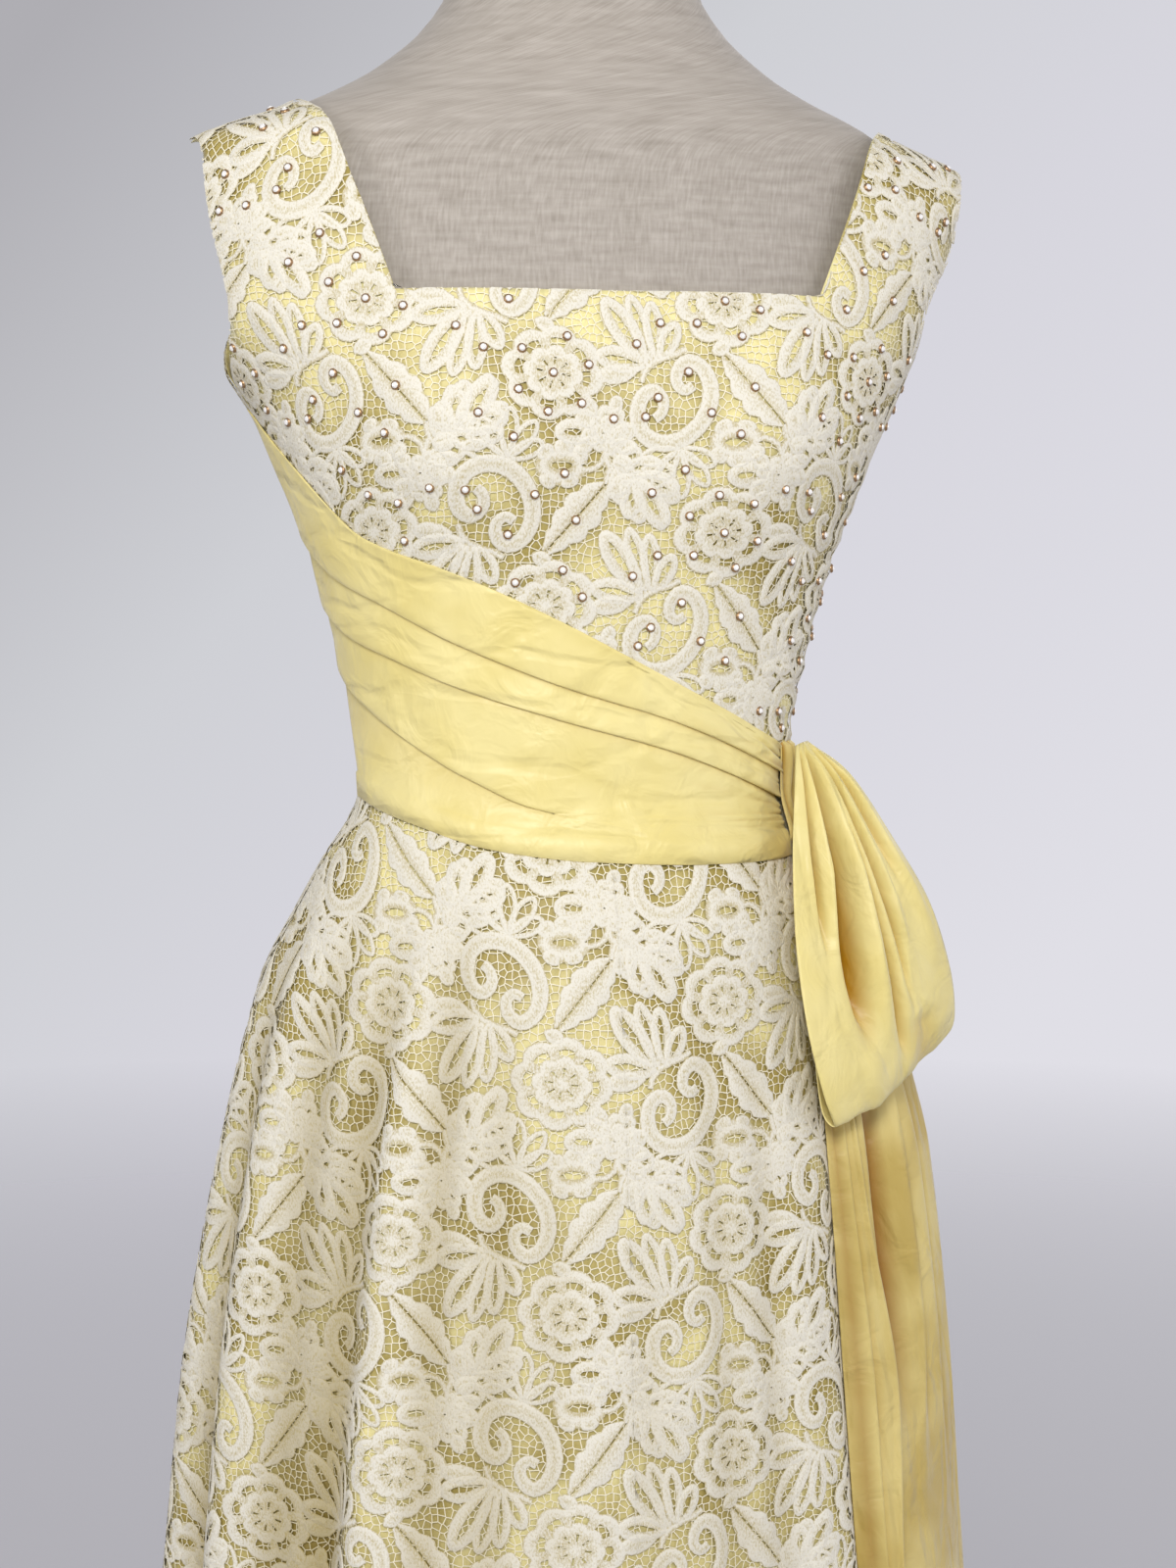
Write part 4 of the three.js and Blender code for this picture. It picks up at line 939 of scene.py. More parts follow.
def floor_material():
    """Matt painted board: pale and plain. It fades out away from the stand, so no edge shows behind."""
    material, tree, shader = new_material("matt painted floor", Base_Color=colour("floor"), Roughness=0.9)
    place = add(tree, "ShaderNodeTexCoord", "Object")
    away = add(tree, "ShaderNodeVectorMath", "Value", {0: place}, operation="LENGTH")
    fade = {
        "Value": away, "From Min": FLOOR["solid_to"], "From Max": FLOOR["gone_at"],
        "To Min": 1.0, "To Max": 0.0,
    }
    tree.links.new(add(tree, "ShaderNodeMapRange", "Result", fade), shader.inputs["Alpha"])
    return material


# Each material's maker and its settings, and the slot that its pieces fill.
MAKERS = {
    "satin": (satin_material, "acetate satin, woven and pressed", "satin", 0.45, 0.045),
    "ends": (satin_material, "acetate satin, along its grain", "ends", 0.46, 0.06),
    "lining": (satin_material, "acetate satin, lining", "lining", 0.5, 0.06),
    "motif": (motif_material,),
    "net": (net_material,),
    "stone": (stone_material,),
    "setting": (setting_material,),
    "jersey": (jersey_material,),
    "cap": (cap_material,),
    "pole": (steel_material, "steel tube, brushed", "C0C0C0", 0.32),
    "base": (steel_material, "steel plate, brushed", "9A9A9A", 0.4),
    "floor": (floor_material,),
}
MATERIALS = {}


def material_of(key):
    """The material of that key, made the first time that it is asked for."""
    if key not in MATERIALS:
        maker, *facts = MAKERS[key]
        MATERIALS[key] = maker(*facts)
    return MATERIALS[key]


# ---------- Lace in the flat ----------
# The repeat, the place of the second group of motifs (a glide reflection of the first), how far both groups
# reach round the repeat's start, with the number of probes that look for cloth there, and where the first
# group starts on each panel.
REPEAT = (172.0, 110.0)
GLIDE = (86.0, -15.0)
GROUP_REACH = {"x": (-45, 130, 12), "y": (-75, 66, 10), "margin": 64}
LACE_START = {"skirt": (-51.0, 951.0), "bodice": (-53.5, 1290.5)}
CORD = 0.8
# How high the darned middle of a motif lies, as a share of its cord's height.
FILL = 0.45
PETAL_STEPS = 5

ROSETTE = {
    "centre": (20.5, -25.0), "petals": 8, "turn": 12, "flat": (1.06, 0.93),
    "rows": (
        (21.0, 3.2, 0), (19.8, 3.2, 1), (15.4, 2.4, 0.45), (11.6, 2.6, 0.4), (10.4, 2.6, 1), (7.6, 0.4, 0.4),
        (4.2, 0, 0.4), (0.0, 0, 1.2),
    ),
    "windows": {2: 1, 5: 2},
}
SMALL_FLOWER = {
    "petals": 6, "windows": {2: 2},
    "rows": ((8.2, 2.6, 0), (7.2, 2.6, 1), (5.0, 1.0, 0.5), (2.6, 0.2, 0.9), (0.0, 0, 0.7)),
}
SMALL_FLOWERS = (
    {"centre": (48.0, -49.5), "turn": 20, "flat": (1, 1)},
    {"centre": (-38.0, 39.0), "turn": 50, "flat": (0.95, 0.95)},
)
SCROLL_LINE = (
    (-15.6, 31.0), (-12.2, 28.0), (-11.4, 22.4), (-15.6, 17.8), (-21.2, 20.0), (-24.0, 27.0), (-22.0, 36.6),
    (-14.4, 42.0), (-4.4, 41.6), (4.2, 36.0), (10.2, 27.0), (11.8, 16.2), (8.0, 7.0), (1.0, 3.8), (-4.2, 8.2),
    (-4.8, 14.2), (-1.0, 17.6), (3.2, 15.4),
)
SCROLL_WIDTHS = (5.0, 5.6, 6.0, 7.0, 7.6, 8.2, 8.6, 8.8, 8.8, 8.8, 8.6, 8.4, 8.0, 7.6, 6.8, 6.0, 5.4, 5.0)
SCROLL_STEPS = 46
FAN = {
    "base": (-3.0, 45.0), "width": 9.4, "rim": 1.9,
    "tips": ((-23.5, 51.5), (-16.0, 64.5), (-1.0, 69.5), (12.0, 63.0), (15.5, 52.5)),
}
BUD = {"centre": (24.4, 41.8), "size": (9.6, 5.9), "width": 7.6, "steps": 15}
# The bud's lobes: base, tip and width.
BUD_LOBES = (
    ((18.5, 44), (14, 51.5), 9), ((25, 45.5), (25.5, 54.5), 10.5), ((30.5, 43.5), (36, 50), 9),
    ((20, 38), (16, 31.5), 9), ((28, 38), (29.5, 31), 9),
)
BIG_LEAF = {"base": (47.0, 33.0), "tip": (19.0, 0.5), "width": 21, "scallops": 4}
MIDRIB_GAP = 0.4
# Leaf lobes: base, tip, width, and whether a slit along the rib is left open.
LEAVES = (
    ((-18, 6), (-45, 1), 12, True), ((-19, 5), (-40, -26), 13, True), ((-17, 4), (-27, -28), 10, True),
    ((-14, 4), (-16.5, -25), 10, True), ((-13, 4), (-3.5, -15), 10, True), ((-24, 9), (-44, 11), 9, False),
    ((-23, -52), (-9, -26), 11, True), ((-22, -53), (-2, -40), 11, True), ((-24, -52), (-27, -31), 11, True),
    ((-25, -53), (-38, -42), 10, False), ((-22, -55), (-4, -54), 9, True), ((-25, -55), (-36, -60), 9, False),
    ((52, 43), (65, 49), 10, True), ((56, 40), (76, 42), 11, True), ((60, 37), (84, 30), 12, True),
    ((60, 36), (79, 13), 12, True), ((55, 38), (66, 14), 11, True), ((51, 41), (56, 23), 10, True),
    ((43, -49), (31, -44), 9, False), ((42, -53), (20, -52), 12, True), ((41, -55), (31, -62), 8, False),
    ((47, 54), (62, 60), 9, False), ((47, 52), (63, 50), 8, False), ((44, 52), (34, 58), 8, False),
    ((13, 0), (22, -5), 7, False), ((-44, 30), (-52, 22), 8, False), ((-37, 30), (-33, 20), 7, False),
)
LEAF_RIM = 0.9
LEAF_SCALLOPS = 2.5
STEMS = (
    (((48, 60), (46.5, 52), (47, 44), (50, 40)), 4.6),
    (((34, 40), (40, 40), (45, 44), (46, 50)), 3.4),
    (((-22, 14), (-20, 8), (-14, 3), (-6, 1), (0, -2)), 4.0),
    (((-38, -63), (-32, -60), (-24, -53)), 3.6),
    (((47, 33), (48, 38), (50, 43)), 4.0),
)
STEM_STEPS = 5


def motif_rise():
    """The height of a motif's cord, in millimetres."""
    return size("motif_rise") / MM


def beside_line(base, tip):
    """The length from base to tip, and a function from places along and beside that line to flat lace."""
    length, turn = math.dist(base, tip), math.atan2(tip[1] - base[1], tip[0] - base[0])
    c, s = math.cos(turn), math.sin(turn)

    def place(along, beside, height):
        return base[0] + along * c - beside * s, base[1] + along * s + beside * c, height

    return length, place


def worked_lobe(bm, base, tip, width, scallops=0, points=7, window=0.0):
    """A petal or leaf lobe from its base to its tip, fullest past its middle: a raised corded rim round a
    darned middle. With a window, the rim inside the cord is that wide and the middle is open."""
    length, place = beside_line(base, tip)
    share = np.sin(np.linspace(0, np.pi / 2, points))
    half = width / 2 * np.clip(np.sin(np.pi * share**1.4), 0, 1) ** 0.5
    if scallops:
        half = half * (0.9 + 0.2 * np.abs(np.sin(np.pi * scallops * share)))
    half = half + (1 - share) * width * 0.12
    half[-1] = 0
    x = np.concatenate([share, share[-2::-1], share[:1]]) * length
    y = np.concatenate([-half, half[-2::-1], -half[:1]])
    rise = motif_rise()
    rings = ((0.0, 0.0), (CORD, rise), (CORD + window if window else width, rise * FILL))
    corners = grid_corners(bm, len(x) - 1, len(rings) - 1)
    for vert, i, ring in corners:
        inwards, height = rings[ring]
        end = min(inwards, length * 0.25)
        along = min(max(x[i], end), length - end)
        vert.co = place(along, math.copysign(max(abs(y[i]) - inwards, 0), y[i]), height)
    bmesh.ops.remove_doubles(bm, verts=[vert for vert, _, _ in corners], dist=0.01)


def ribbon(bm, centre, widths, steps, corded=True):
    """A worked band along a smooth line, raised at both edges if it is corded."""
    line = spline(centre, steps + 1)
    width = np.interp(np.linspace(0, 1, steps + 1), np.linspace(0, 1, len(widths)), widths)
    along = unit(np.gradient(line, axis=0))
    side = np.stack([-along[:, 1], along[:, 0]], 1)
    profile = ((-0.5, 0), (0, 1), (0.5, 0))
    if corded:
        profile = ((-0.5, 0), (-0.4, 1), (0, FILL), (0.4, 1), (0.5, 0))
    for vert, i, row in grid_corners(bm, steps, len(profile) - 1):
        across, height = profile[row]
        vert.co = (*(line[i] + side[i] * width[i] * across), height * motif_rise())


def half_leaf(bm, base, tip, width, side, scallops):
    """Half of a toothed leaf, beside its midrib, raised from a cord at its edge to one at the midrib."""
    length, place = beside_line(base, tip)
    share = np.linspace(0, 1, scallops * 3 + 1)
    teeth = 0.84 + 0.24 * np.abs(np.sin(np.pi * scallops * share))
    half = width / 2 * np.sin(np.pi * share**0.85) ** 0.65 * teeth
    half = np.maximum(half, MIDRIB_GAP + 2 * CORD + 0.2)
    rise = motif_rise()
    # From the midrib outwards. The last two are measured from the leaf's edge.
    rows = ((MIDRIB_GAP, 0.0), (MIDRIB_GAP + CORD, rise * FILL), (-CORD, rise), (0.0, 0.0))
    for vert, i, row in grid_corners(bm, len(share) - 1, len(rows) - 1):
        row = row if side > 0 else len(rows) - 1 - row
        inset, height = rows[row]
        vert.co = place(share[i] * length, side * (inset if row < 2 else half[i] + inset), height)


def rosette(bm, centre, petals, turn, rows, windows, flat):
    """A round flower: rings of (radius, swell in each petal, height share) from its edge in, with the rings
    in windows left open in the middle of each petal, that many steps from the petal's sides."""
    corners = grid_corners(bm, petals * PETAL_STEPS, len(rows) - 1)
    rings_of, steps_of = {}, {}
    for vert, step, ring in corners:
        radius, swell, height = rows[ring]
        share = step / PETAL_STEPS
        radius += swell * abs(math.sin(math.pi * share)) ** 0.7
        way = math.radians(turn + share * 360 / petals)
        x, y = radius * math.cos(way) * flat[0], radius * math.sin(way) * flat[1]
        vert.co = (centre[0] + x, centre[1] + y, height * motif_rise())
        rings_of[vert], steps_of[vert] = ring, step
    open_faces = []
    for face in dict.fromkeys(face for vert in rings_of for face in vert.link_faces):
        ring = min(rings_of[vert] for vert in face.verts)
        step = min(steps_of[vert] for vert in face.verts) % PETAL_STEPS
        if ring in windows and windows[ring] <= step < PETAL_STEPS - windows[ring]:
            open_faces.append(face)
    bmesh.ops.delete(bm, geom=open_faces, context="FACES_ONLY")
    bmesh.ops.remove_doubles(bm, verts=[vert for vert in rings_of if vert.is_valid], dist=0.05)


def lace_group(bm):
    """One group of motifs: rosette, scroll with its fan, bud, leaves, small flowers and stems."""
    rosette(bm, **ROSETTE)
    for flower in SMALL_FLOWERS:
        rosette(bm, **SMALL_FLOWER, **flower)
    ribbon(bm, SCROLL_LINE, SCROLL_WIDTHS, SCROLL_STEPS)
    for tip in FAN["tips"]:
        worked_lobe(bm, FAN["base"], tip, FAN["width"], points=8, window=FAN["rim"])
    turns = np.linspace(0, math.tau, 13)
    ring = np.stack([np.cos(turns), np.sin(turns)], -1) * BUD["size"] + BUD["centre"]
    ribbon(bm, ring, (BUD["width"],) * 2, BUD["steps"], corded=False)
    for base, tip, width in BUD_LOBES:
        worked_lobe(bm, base, tip, width, points=6)
    for side in (-1, 1):
        half_leaf(bm, side=side, **BIG_LEAF)
    for base, tip, width, slit in LEAVES:
        window = width / 2 - CORD - LEAF_RIM if slit else 0.0
        worked_lobe(bm, base, tip, width, LEAF_SCALLOPS, window=window)
    for line, width in STEMS:
        ribbon(bm, line, (width * 0.8, width, width * 0.8), STEM_STEPS, corded=False)


def lace_repeat():
    """The repeat of the lace: one group of motifs and its glide reflection, as a mesh in millimetres."""
    bm = bmesh.new()
    lace_group(bm)
    copy = bmesh.ops.duplicate(bm, geom=bm.verts[:] + bm.edges[:] + bm.faces[:])["geom"]
    for item in copy:
        if isinstance(item, bmesh.types.BMVert):
            item.co = (item.co.x + GLIDE[0], GLIDE[1] - item.co.y, item.co.z)
    bmesh.ops.reverse_faces(bm, faces=[item for item in copy if isinstance(item, bmesh.types.BMFace)])
    bmesh.ops.triangulate(bm, faces=[face for face in bm.faces if len(face.verts) > 4])
    mesh = bpy.data.meshes.new("lace_repeat")
    bm.to_mesh(mesh)
    bm.free()
    return mesh


class Ground:
    """Where flat lace meets a grid of cloth with level rows."""

    def __init__(self, cloth, angles=None, out=0.0):
        self.v = cloth.flat[:, 0, 1]
        self.u = cloth.flat[..., 0]
        angles = np.zeros(self.u.shape) if angles is None else angles
        self.values = np.concatenate([cloth.moved(out), cloth.normals, angles[..., None]], -1)

    def edges(self, v):
        return np.interp(v, self.v, self.u[:, 0]), np.interp(v, self.v, self.u[:, -1])

    def at(self, u, v):
        """Points, normals and angles at flat places, clamped to the cloth."""
        place = np.interp(v, self.v, np.arange(len(self.v)))
        row = np.minimum(place.astype(int), len(self.v) - 2)
        part = place - row
        order = np.argsort(row, kind="stable")
        bounds = np.searchsorted(row[order], np.arange(len(self.v)))
        found = np.zeros((len(u), self.values.shape[-1]))
        for r in range(len(self.v) - 1):
            chosen = order[bounds[r] : bounds[r + 1]]
            if not len(chosen):
                continue
            for k in range(self.values.shape[-1]):
                low = np.interp(u[chosen], self.u[r], self.values[r, :, k])
                high = np.interp(u[chosen], self.u[r + 1], self.values[r + 1, :, k])
                found[chosen, k] = mix(low, high, part[chosen])
        return found


# Level rows of the skirt under its lace: from, to and step. They are closer near the waist.
LACE_LEVELS = ((HEM_Z, 940, 12.0), (940, 1062, 6.0))
SKIRT_LACE_TOP = 1060
# Where the bodice's lace may start, and how far it stays from the sash's edges and the waist seam.
BODICE_LACE_Z = (1066, 1074)
SASH_TUCK = {"front": 3, "back": 6}
SEAM_CLEARANCE = 0.8
STRAP_MARGIN = 12


def skirt_drape(panel, half=0):
    """A function that lays flat lace on a skirt panel, or on its right (-1) or left (1) half, and the box of
    flat lace that it takes. It gives points, normals, what lies on the cloth, and the depths in folds."""
    cloth, angles = skirt_cloth(panel, np.concatenate([np.arange(*run) for run in LACE_LEVELS]))
    ground = Ground(cloth, angles, LAYERS["motif"]["skirt"])

    def drape(u, v):
        left, right = ground.edges(v)
        if half < 0:
            right = np.minimum(right, 0)
        if half > 0:
            left = np.maximum(left, 0)
        inside = (u >= left) & (u <= right) & (v >= HEM_Z)
        u, v = np.clip(u, left, right), np.maximum(v, HEM_Z + 0.3)
        seam = waist_at(wrapped(ground.at(u, v)[:, 6])) - SEAM_CLEARANCE
        inside &= v <= seam
        found = ground.at(u, np.minimum(v, seam))
        return found[:, :3], found[:, 3:6], inside, skirt_valley(found[:, 6], v)

    low, high = ground.u.min(), ground.u.max()
    if half:
        low, high = (low, 0) if half < 0 else (0, high)
    return drape, (low, high, HEM_Z, SKIRT_LACE_TOP)


def bodice_drape(name):
    """The same for a bodice panel and its straps, above the sash."""
    panel = PANELS[name]
    grounds = []
    for cloth, angles in bodice_cloths(name, level_rows=True):
        out = bodice_ease(cloth.points[..., 2]) + LAYERS["motif"]["bodice"] + ripple(cloth.points)
        grounds.append(Ground(cloth, angles, out))
    body, straps = grounds[0], grounds[1:]
    neck_z = panel["neck_z"]

    def drape(u, v):
        left, right = body.edges(np.minimum(v, neck_z))
        inside = (u >= left) & (u <= right) & (v <= neck_z)
        found = body.at(np.clip(u, left, right), np.minimum(v, neck_z))
        turns = wrapped(found[:, 6])
        if panel["facing"] < 0:
            floor = np.maximum(sash_at["upper"](turns), BODICE_LACE_Z[1]) - SASH_TUCK["front"]
        else:
            floor = waist_at(turns) + SASH_BACK_HEIGHT - SASH_TUCK["back"]
        low = v < floor
        inside &= ~low
        found[low] = body.at(np.clip(u, left, right)[low], floor[low])
        for strap in straps:
            inner, outer = strap.edges(v)
            near = (v > neck_z) & (u > inner - STRAP_MARGIN) & (u < outer + STRAP_MARGIN)
            inside |= (v > neck_z) & (u >= inner) & (u <= outer) & (v <= strap.v[-1])
            if near.any():
                found[near] = strap.at(np.clip(u, inner, outer)[near], np.minimum(v, strap.v[-1])[near])
        return found[:, :3], unit(found[:, 3:6]), inside, np.zeros(len(u))

    top = max([strap.v[-1] for strap in straps] + [neck_z])
    low, high = min(ground.u.min() for ground in grounds), max(ground.u.max() for ground in grounds)
    return drape, (low, high, BODICE_LACE_Z[0], top)


def lace_places(start, box):
    """The repeats that may touch a box of flat cloth."""
    margin = GROUP_REACH["margin"]
    runs = []
    for axis, (low, high) in enumerate((box[:2], box[2:])):
        glide = GLIDE[0] if axis == 0 else 0
        first = math.floor((low - margin - start[axis] - glide) / REPEAT[axis])
        last = math.ceil((high + margin - start[axis]) / REPEAT[axis])
        runs.append(range(first, last + 1))
    return [(start[0] + i * REPEAT[0], start[1] + j * REPEAT[1]) for i in runs[0] for j in runs[1]]


def lay_lace(name, repeat, start, drape, box):
    """Copies the repeat over a panel, lays it on the cloth and cuts it at the panel's edges."""
    bm = start_mesh()
    probes = np.meshgrid(np.linspace(*GROUP_REACH["x"]), np.linspace(*GROUP_REACH["y"]))
    probes = np.stack(probes, -1).reshape(-1, 2)
    for place in lace_places(start, box):
        if not drape(*(probes + place).T)[2].any():
            continue
        count = len(bm.verts)
        bm.from_mesh(repeat)
        bm.verts.ensure_lookup_table()
        bmesh.ops.translate(bm, verts=bm.verts[count:], vec=(*place, 0))
    places = np.array([vert.co[:] for vert in bm.verts])
    points, normals, inside, valleys = drape(places[:, 0], places[:, 1])
    laid = (points + normals * places[:, 2:3]).tolist()
    worked = bm.verts.layers.float.new("worked")
    valley, flat = bm.verts.layers.float["valley"], bm.verts.layers.float_vector["flat"]
    rise = motif_rise()
    # The valleys carry painted shade onto the motifs that lie in the skirt's folds.
    for vert, *facts in zip(bm.verts, laid, places.tolist(), inside.tolist(), valleys.tolist()):
        vert.co, vert[flat], vert.tag, vert[valley] = facts
        vert[worked] = min(1.0, vert[flat][2] / rise)
    outside = [face for face in bm.faces if not any(vert.tag for vert in face.verts)]
    bmesh.ops.delete(bm, geom=outside, context="FACES")
    return finish_piece(name, bm, "motif", merge=0)


# ---------- The form, the stand and the panels ----------
def ring_piece(name, points, key):
    """A closed upright piece through level rings of points, lowest first."""
    bm = start_mesh()
    closed = np.concatenate([points, points[:, :1]], 1)
    grid_into(bm, closed, flat_places(along_rows(closed), closed[..., 2]))
    bmesh.ops.remove_doubles(bm, verts=bm.verts, dist=0.01)
    bmesh.ops.holes_fill(bm, edges=[edge for edge in bm.edges if edge.is_boundary])
    bmesh.ops.recalc_face_normals(bm, faces=bm.faces)
    return finish_piece(name, bm, key)


def spin_profile(bm, profile, steps):
    """Turns a profile of (radius, height) round the upright axis."""
    verts = [bm.verts.new((radius, 0, height)) for radius, height in profile]
    edges = [bm.edges.new(pair) for pair in zip(verts, verts[1:])]
    bmesh.ops.spin(
        bm, geom=verts + edges, cent=(0, 0, 0), axis=(0, 0, 1), angle=math.tau, steps=steps, use_merge=True
    )
    bmesh.ops.remove_doubles(bm, verts=bm.verts, dist=0.01)
    bmesh.ops.recalc_face_normals(bm, faces=bm.faces)


class GOWN_OT_dress_form(bpy.types.Operator):
    """Make the limbless dress form, its neck cap and its stand"""

    bl_idname = "gown.dress_form"
    bl_label = "Dress form and stand"

    def execute(self, context):
        levels = np.concatenate([*(np.arange(*run) for run in FORM_LEVELS), [FORM_TOP_Z]])
        points = body_points(np.arange(180, 540, FORM_STEP)[None], levels[:, None], bare=True)
        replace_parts(ring_piece("form_cover", points, "jersey"), "form_torso")
        for name, facts in TURNED.items():
            bm = start_mesh()
            spin_profile(bm, facts["profile"], TURNED_STEPS)
            sharp = [edge for edge in bm.edges if edge.calc_face_angle(0) > math.radians(SHARP_ANGLE)]
            bmesh.ops.bevel(
                bm, geom=sharp, offset=facts["bevel"], segments=3, profile=0.5, affect="EDGES", material=-1
            )
            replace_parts(finish_piece(name, bm, facts["material"]), facts["node"])
        return {"FINISHED"}


def panel_piece(name, layer):
    """One layer of a bodice or skirt panel, the lining or the net."""
    bm = start_mesh()
    out = LAYERS[layer]
    if name in PANELS:
        for cloth, _ in bodice_cloths(name):
            stands_off = bodice_ease(cloth.points[..., 2]) + out["bodice"] + ripple(cloth.points)
            grid_into(bm, cloth.moved(stands_off), cloth.flat)
    else:
        cloth, angles = skirt_cloth(name, bottom=out["hem"])
        # On the skirt, the depth in its folds paints shade on the lining and the net.
        grid_into(bm, cloth.moved(out["skirt"]), cloth.flat, skirt_valley(angles, cloth.points[..., 2]))
    return finish_piece(name + "_" + layer, bm, layer, merge=0.05)


class GOWN_OT_underdress(bpy.types.Operator):
    """Make the satin bodice and underskirt that show through the lace"""

    bl_idname = "gown.underdress"
    bl_label = "Satin underdress"

    def execute(self, context):
        for name in (*PANELS, *SKIRT_PANELS):
            held = "draped" if name in PANELS else "hung"
            piece = panel_piece(name, "lining")
            finish_sheet(piece, name + "_satin", held, ["form_cover"], wall="lining_wall")
        return {"FINISHED"}


def lace_drapes(name):
    """The stretches of a panel that are laid with lace: the ending of each one's name, its place in the
    repeat, and its drape and box. The skirt's front has two, so that no piece holds too many faces."""
    if name in PANELS:
        return [("_motifs", LACE_START["bodice"], *bodice_drape(name))]
    if name == "skirt_front":
        return [
            ("_motifs_right", LACE_START["skirt"], *skirt_drape(name, -1)),
            ("_motifs_left", LACE_START["skirt"], *skirt_drape(name, 1)),
        ]
    return [("_motifs", LACE_START["skirt"], *skirt_drape(name))]


class GOWN_OT_lace(bpy.types.Operator):
    """Make the lace: its net, and the worked motifs that lie on it"""

    bl_idname = "gown.lace"
    bl_label = "Lace"

    def execute(self, context):
        repeat = lace_repeat()
        for name in (*PANELS, *SKIRT_PANELS):
            held = "draped" if name in PANELS else "hung"
            motifs = [lay_lace(name + ending, repeat, *facts) for ending, *facts in lace_drapes(name)]
            finish_sheet(panel_piece(name, "net"), name + "_lace", held, [name + "_lining"])
        bpy.data.meshes.remove(repeat)
        return {"FINISHED"}


# Where stones sit on one group of motifs, and how near an edge of the cloth none does.
STONE_SPOTS = (
    (20.5, -25), (28, -8), (38, -21), (34, -39), (17, -43), (3, -33), (6, -14), (-14, 21), (1, 9),
    (-20, 30), (12, 28), (-24, -4), (-12, -14), (26, 38), (33, 16), (0, 55), (-36, 31), (-16, -44),
)
STONE_MARGINS = ((4, 0), (-4, 0), (0, 4), (0, -9))
# Profiles of (radius, height over the lace), from the middle out.
STONE_PROFILES = {
    "stone": ((0, 2.2), (0.9, 2.1), (1.7, 1.3), (1.7, 0.8)),
    "setting": ((1.6, 1.5), (2.0, 1.3), (2.4, 0.7), (2.4, 0.2)),
}
STONE_SIDES = 9


def stone_mesh(profile):
    """One stone or setting as a mesh in millimetres that stands on the origin."""
    bm = bmesh.new()
    scale = size("stone_scale")
    spin_profile(bm, [(radius * scale, height * scale) for radius, height in profile], STONE_SIDES)
    if sum(face.normal.z for face in bm.faces) < 0:
        bmesh.ops.reverse_faces(bm, faces=bm.faces)
    mesh = bpy.data.meshes.new("pattern")
    bm.to_mesh(mesh)
    bm.free()
    return mesh


class GOWN_OT_stones(bpy.types.Operator):
    """Set the cut stones on the front bodice's lace"""

    bl_idname = "gown.stones"
    bl_label = "Stones"

    def execute(self, context):
        drape, box = bodice_drape("bodice_front")
        spots = []
        for x0, y0 in lace_places(LACE_START["bodice"], box):
            for x, y in STONE_SPOTS:
                spots += [(x0 + x, y0 + y), (x0 + GLIDE[0] + x, y0 + GLIDE[1] - y)]
        spots = np.array(spots)
        inside = np.all([drape(*(spots + margin).T)[2] for margin in STONE_MARGINS], axis=0)
        points, normals, _, _ = drape(*spots[inside].T)
        for kind, profile in STONE_PROFILES.items():
            pattern = stone_mesh(profile)
            bm = start_mesh()
            for point, normal in zip(points, normals):
                count = len(bm.verts)
                bm.from_mesh(pattern)
                bm.verts.ensure_lookup_table()
                turn = Vector((0, 0, 1)).rotation_difference(Vector(normal)).to_matrix().to_4x4()
                bmesh.ops.transform(bm, matrix=Matrix.Translation(point) @ turn, verts=bm.verts[count:])
            finish_piece("bodice_" + kind + "s", bm, kind, smooth=kind == "setting", merge=0)
            bpy.data.meshes.remove(pattern)
        return {"FINISHED"}


# ---------- The cloth of the sash and bow ----------
def wrinkles(a, b, seed):
    """Uneven press wrinkles that run along a and come and go across b: sharp valleys and round ridges."""
    total = 0
    for i, pace in enumerate((1.0, 1.9, 3.1, 5.3)):
        phase = seed * 1.7 + i * 2.3
        wave = np.sin(b * pace * 6.0 + phase + 1.6 * np.sin(a * 2.1 * pace + phase))
        total = total + (1 - 2 * np.abs(wave)) * np.sin(a * 3.3 * pace + 2 * phase) / (1 + 0.8 * i)
    return total / 2


def sash_section(lines, lower, turn):
    """The sash's section at one angle, from the waist seam up: rows of height, how far out, and how deep in
    a fold. Each pleat's folded lip hangs over the cloth below it."""
    rows = [(lower + rise, out, 0.0) for rise, out in SASH_FOOT]
    low, high = SASH_LIP[0][0], SASH_LIP[-1][0]
    for k in (3, 2, 1):
        # The lowest pleat runs out flat before it reaches the bow.
        proud = 1.0 if k < 3 else float(smoothstep(-turn, 8, 34))
        upper = lines[k - 1]
        fold = max(lines[k], rows[-1][0] + 2.5)
        room = min(1.0, max(upper - fold, 2) / 16)
        # The third value of each row is painted shade, strongest in the valley under the lip.
        for (rise, out, valley), level in zip(SASH_LIP, np.linspace(low, high, len(SASH_LIP))):
            rows.append((fold + mix(level, rise, proud) * room, mix(1.0, out, proud), proud * valley))
        gap = max(upper - fold - 8, 1)
        for share in PLEAT_SHARES:
            rows.append((fold + high * room + gap * share, mix(1.0, mix(2.5, 0.7, share), proud), 0.0))
    top = max(lines[0], rows[-1][0] + 1.5)
    rows.append((mix(rows[-1][0], top, 0.5), 1.0, 0.0))
    return rows + [(top + rise, out, 0.0) for rise, out in SASH_TOP]


def over_body(points, outs):
    """Points of the sash's cloth, that far out from its own layer over the body."""
    return points + body_normals(points) * (SASH_OUT + outs)[..., None]


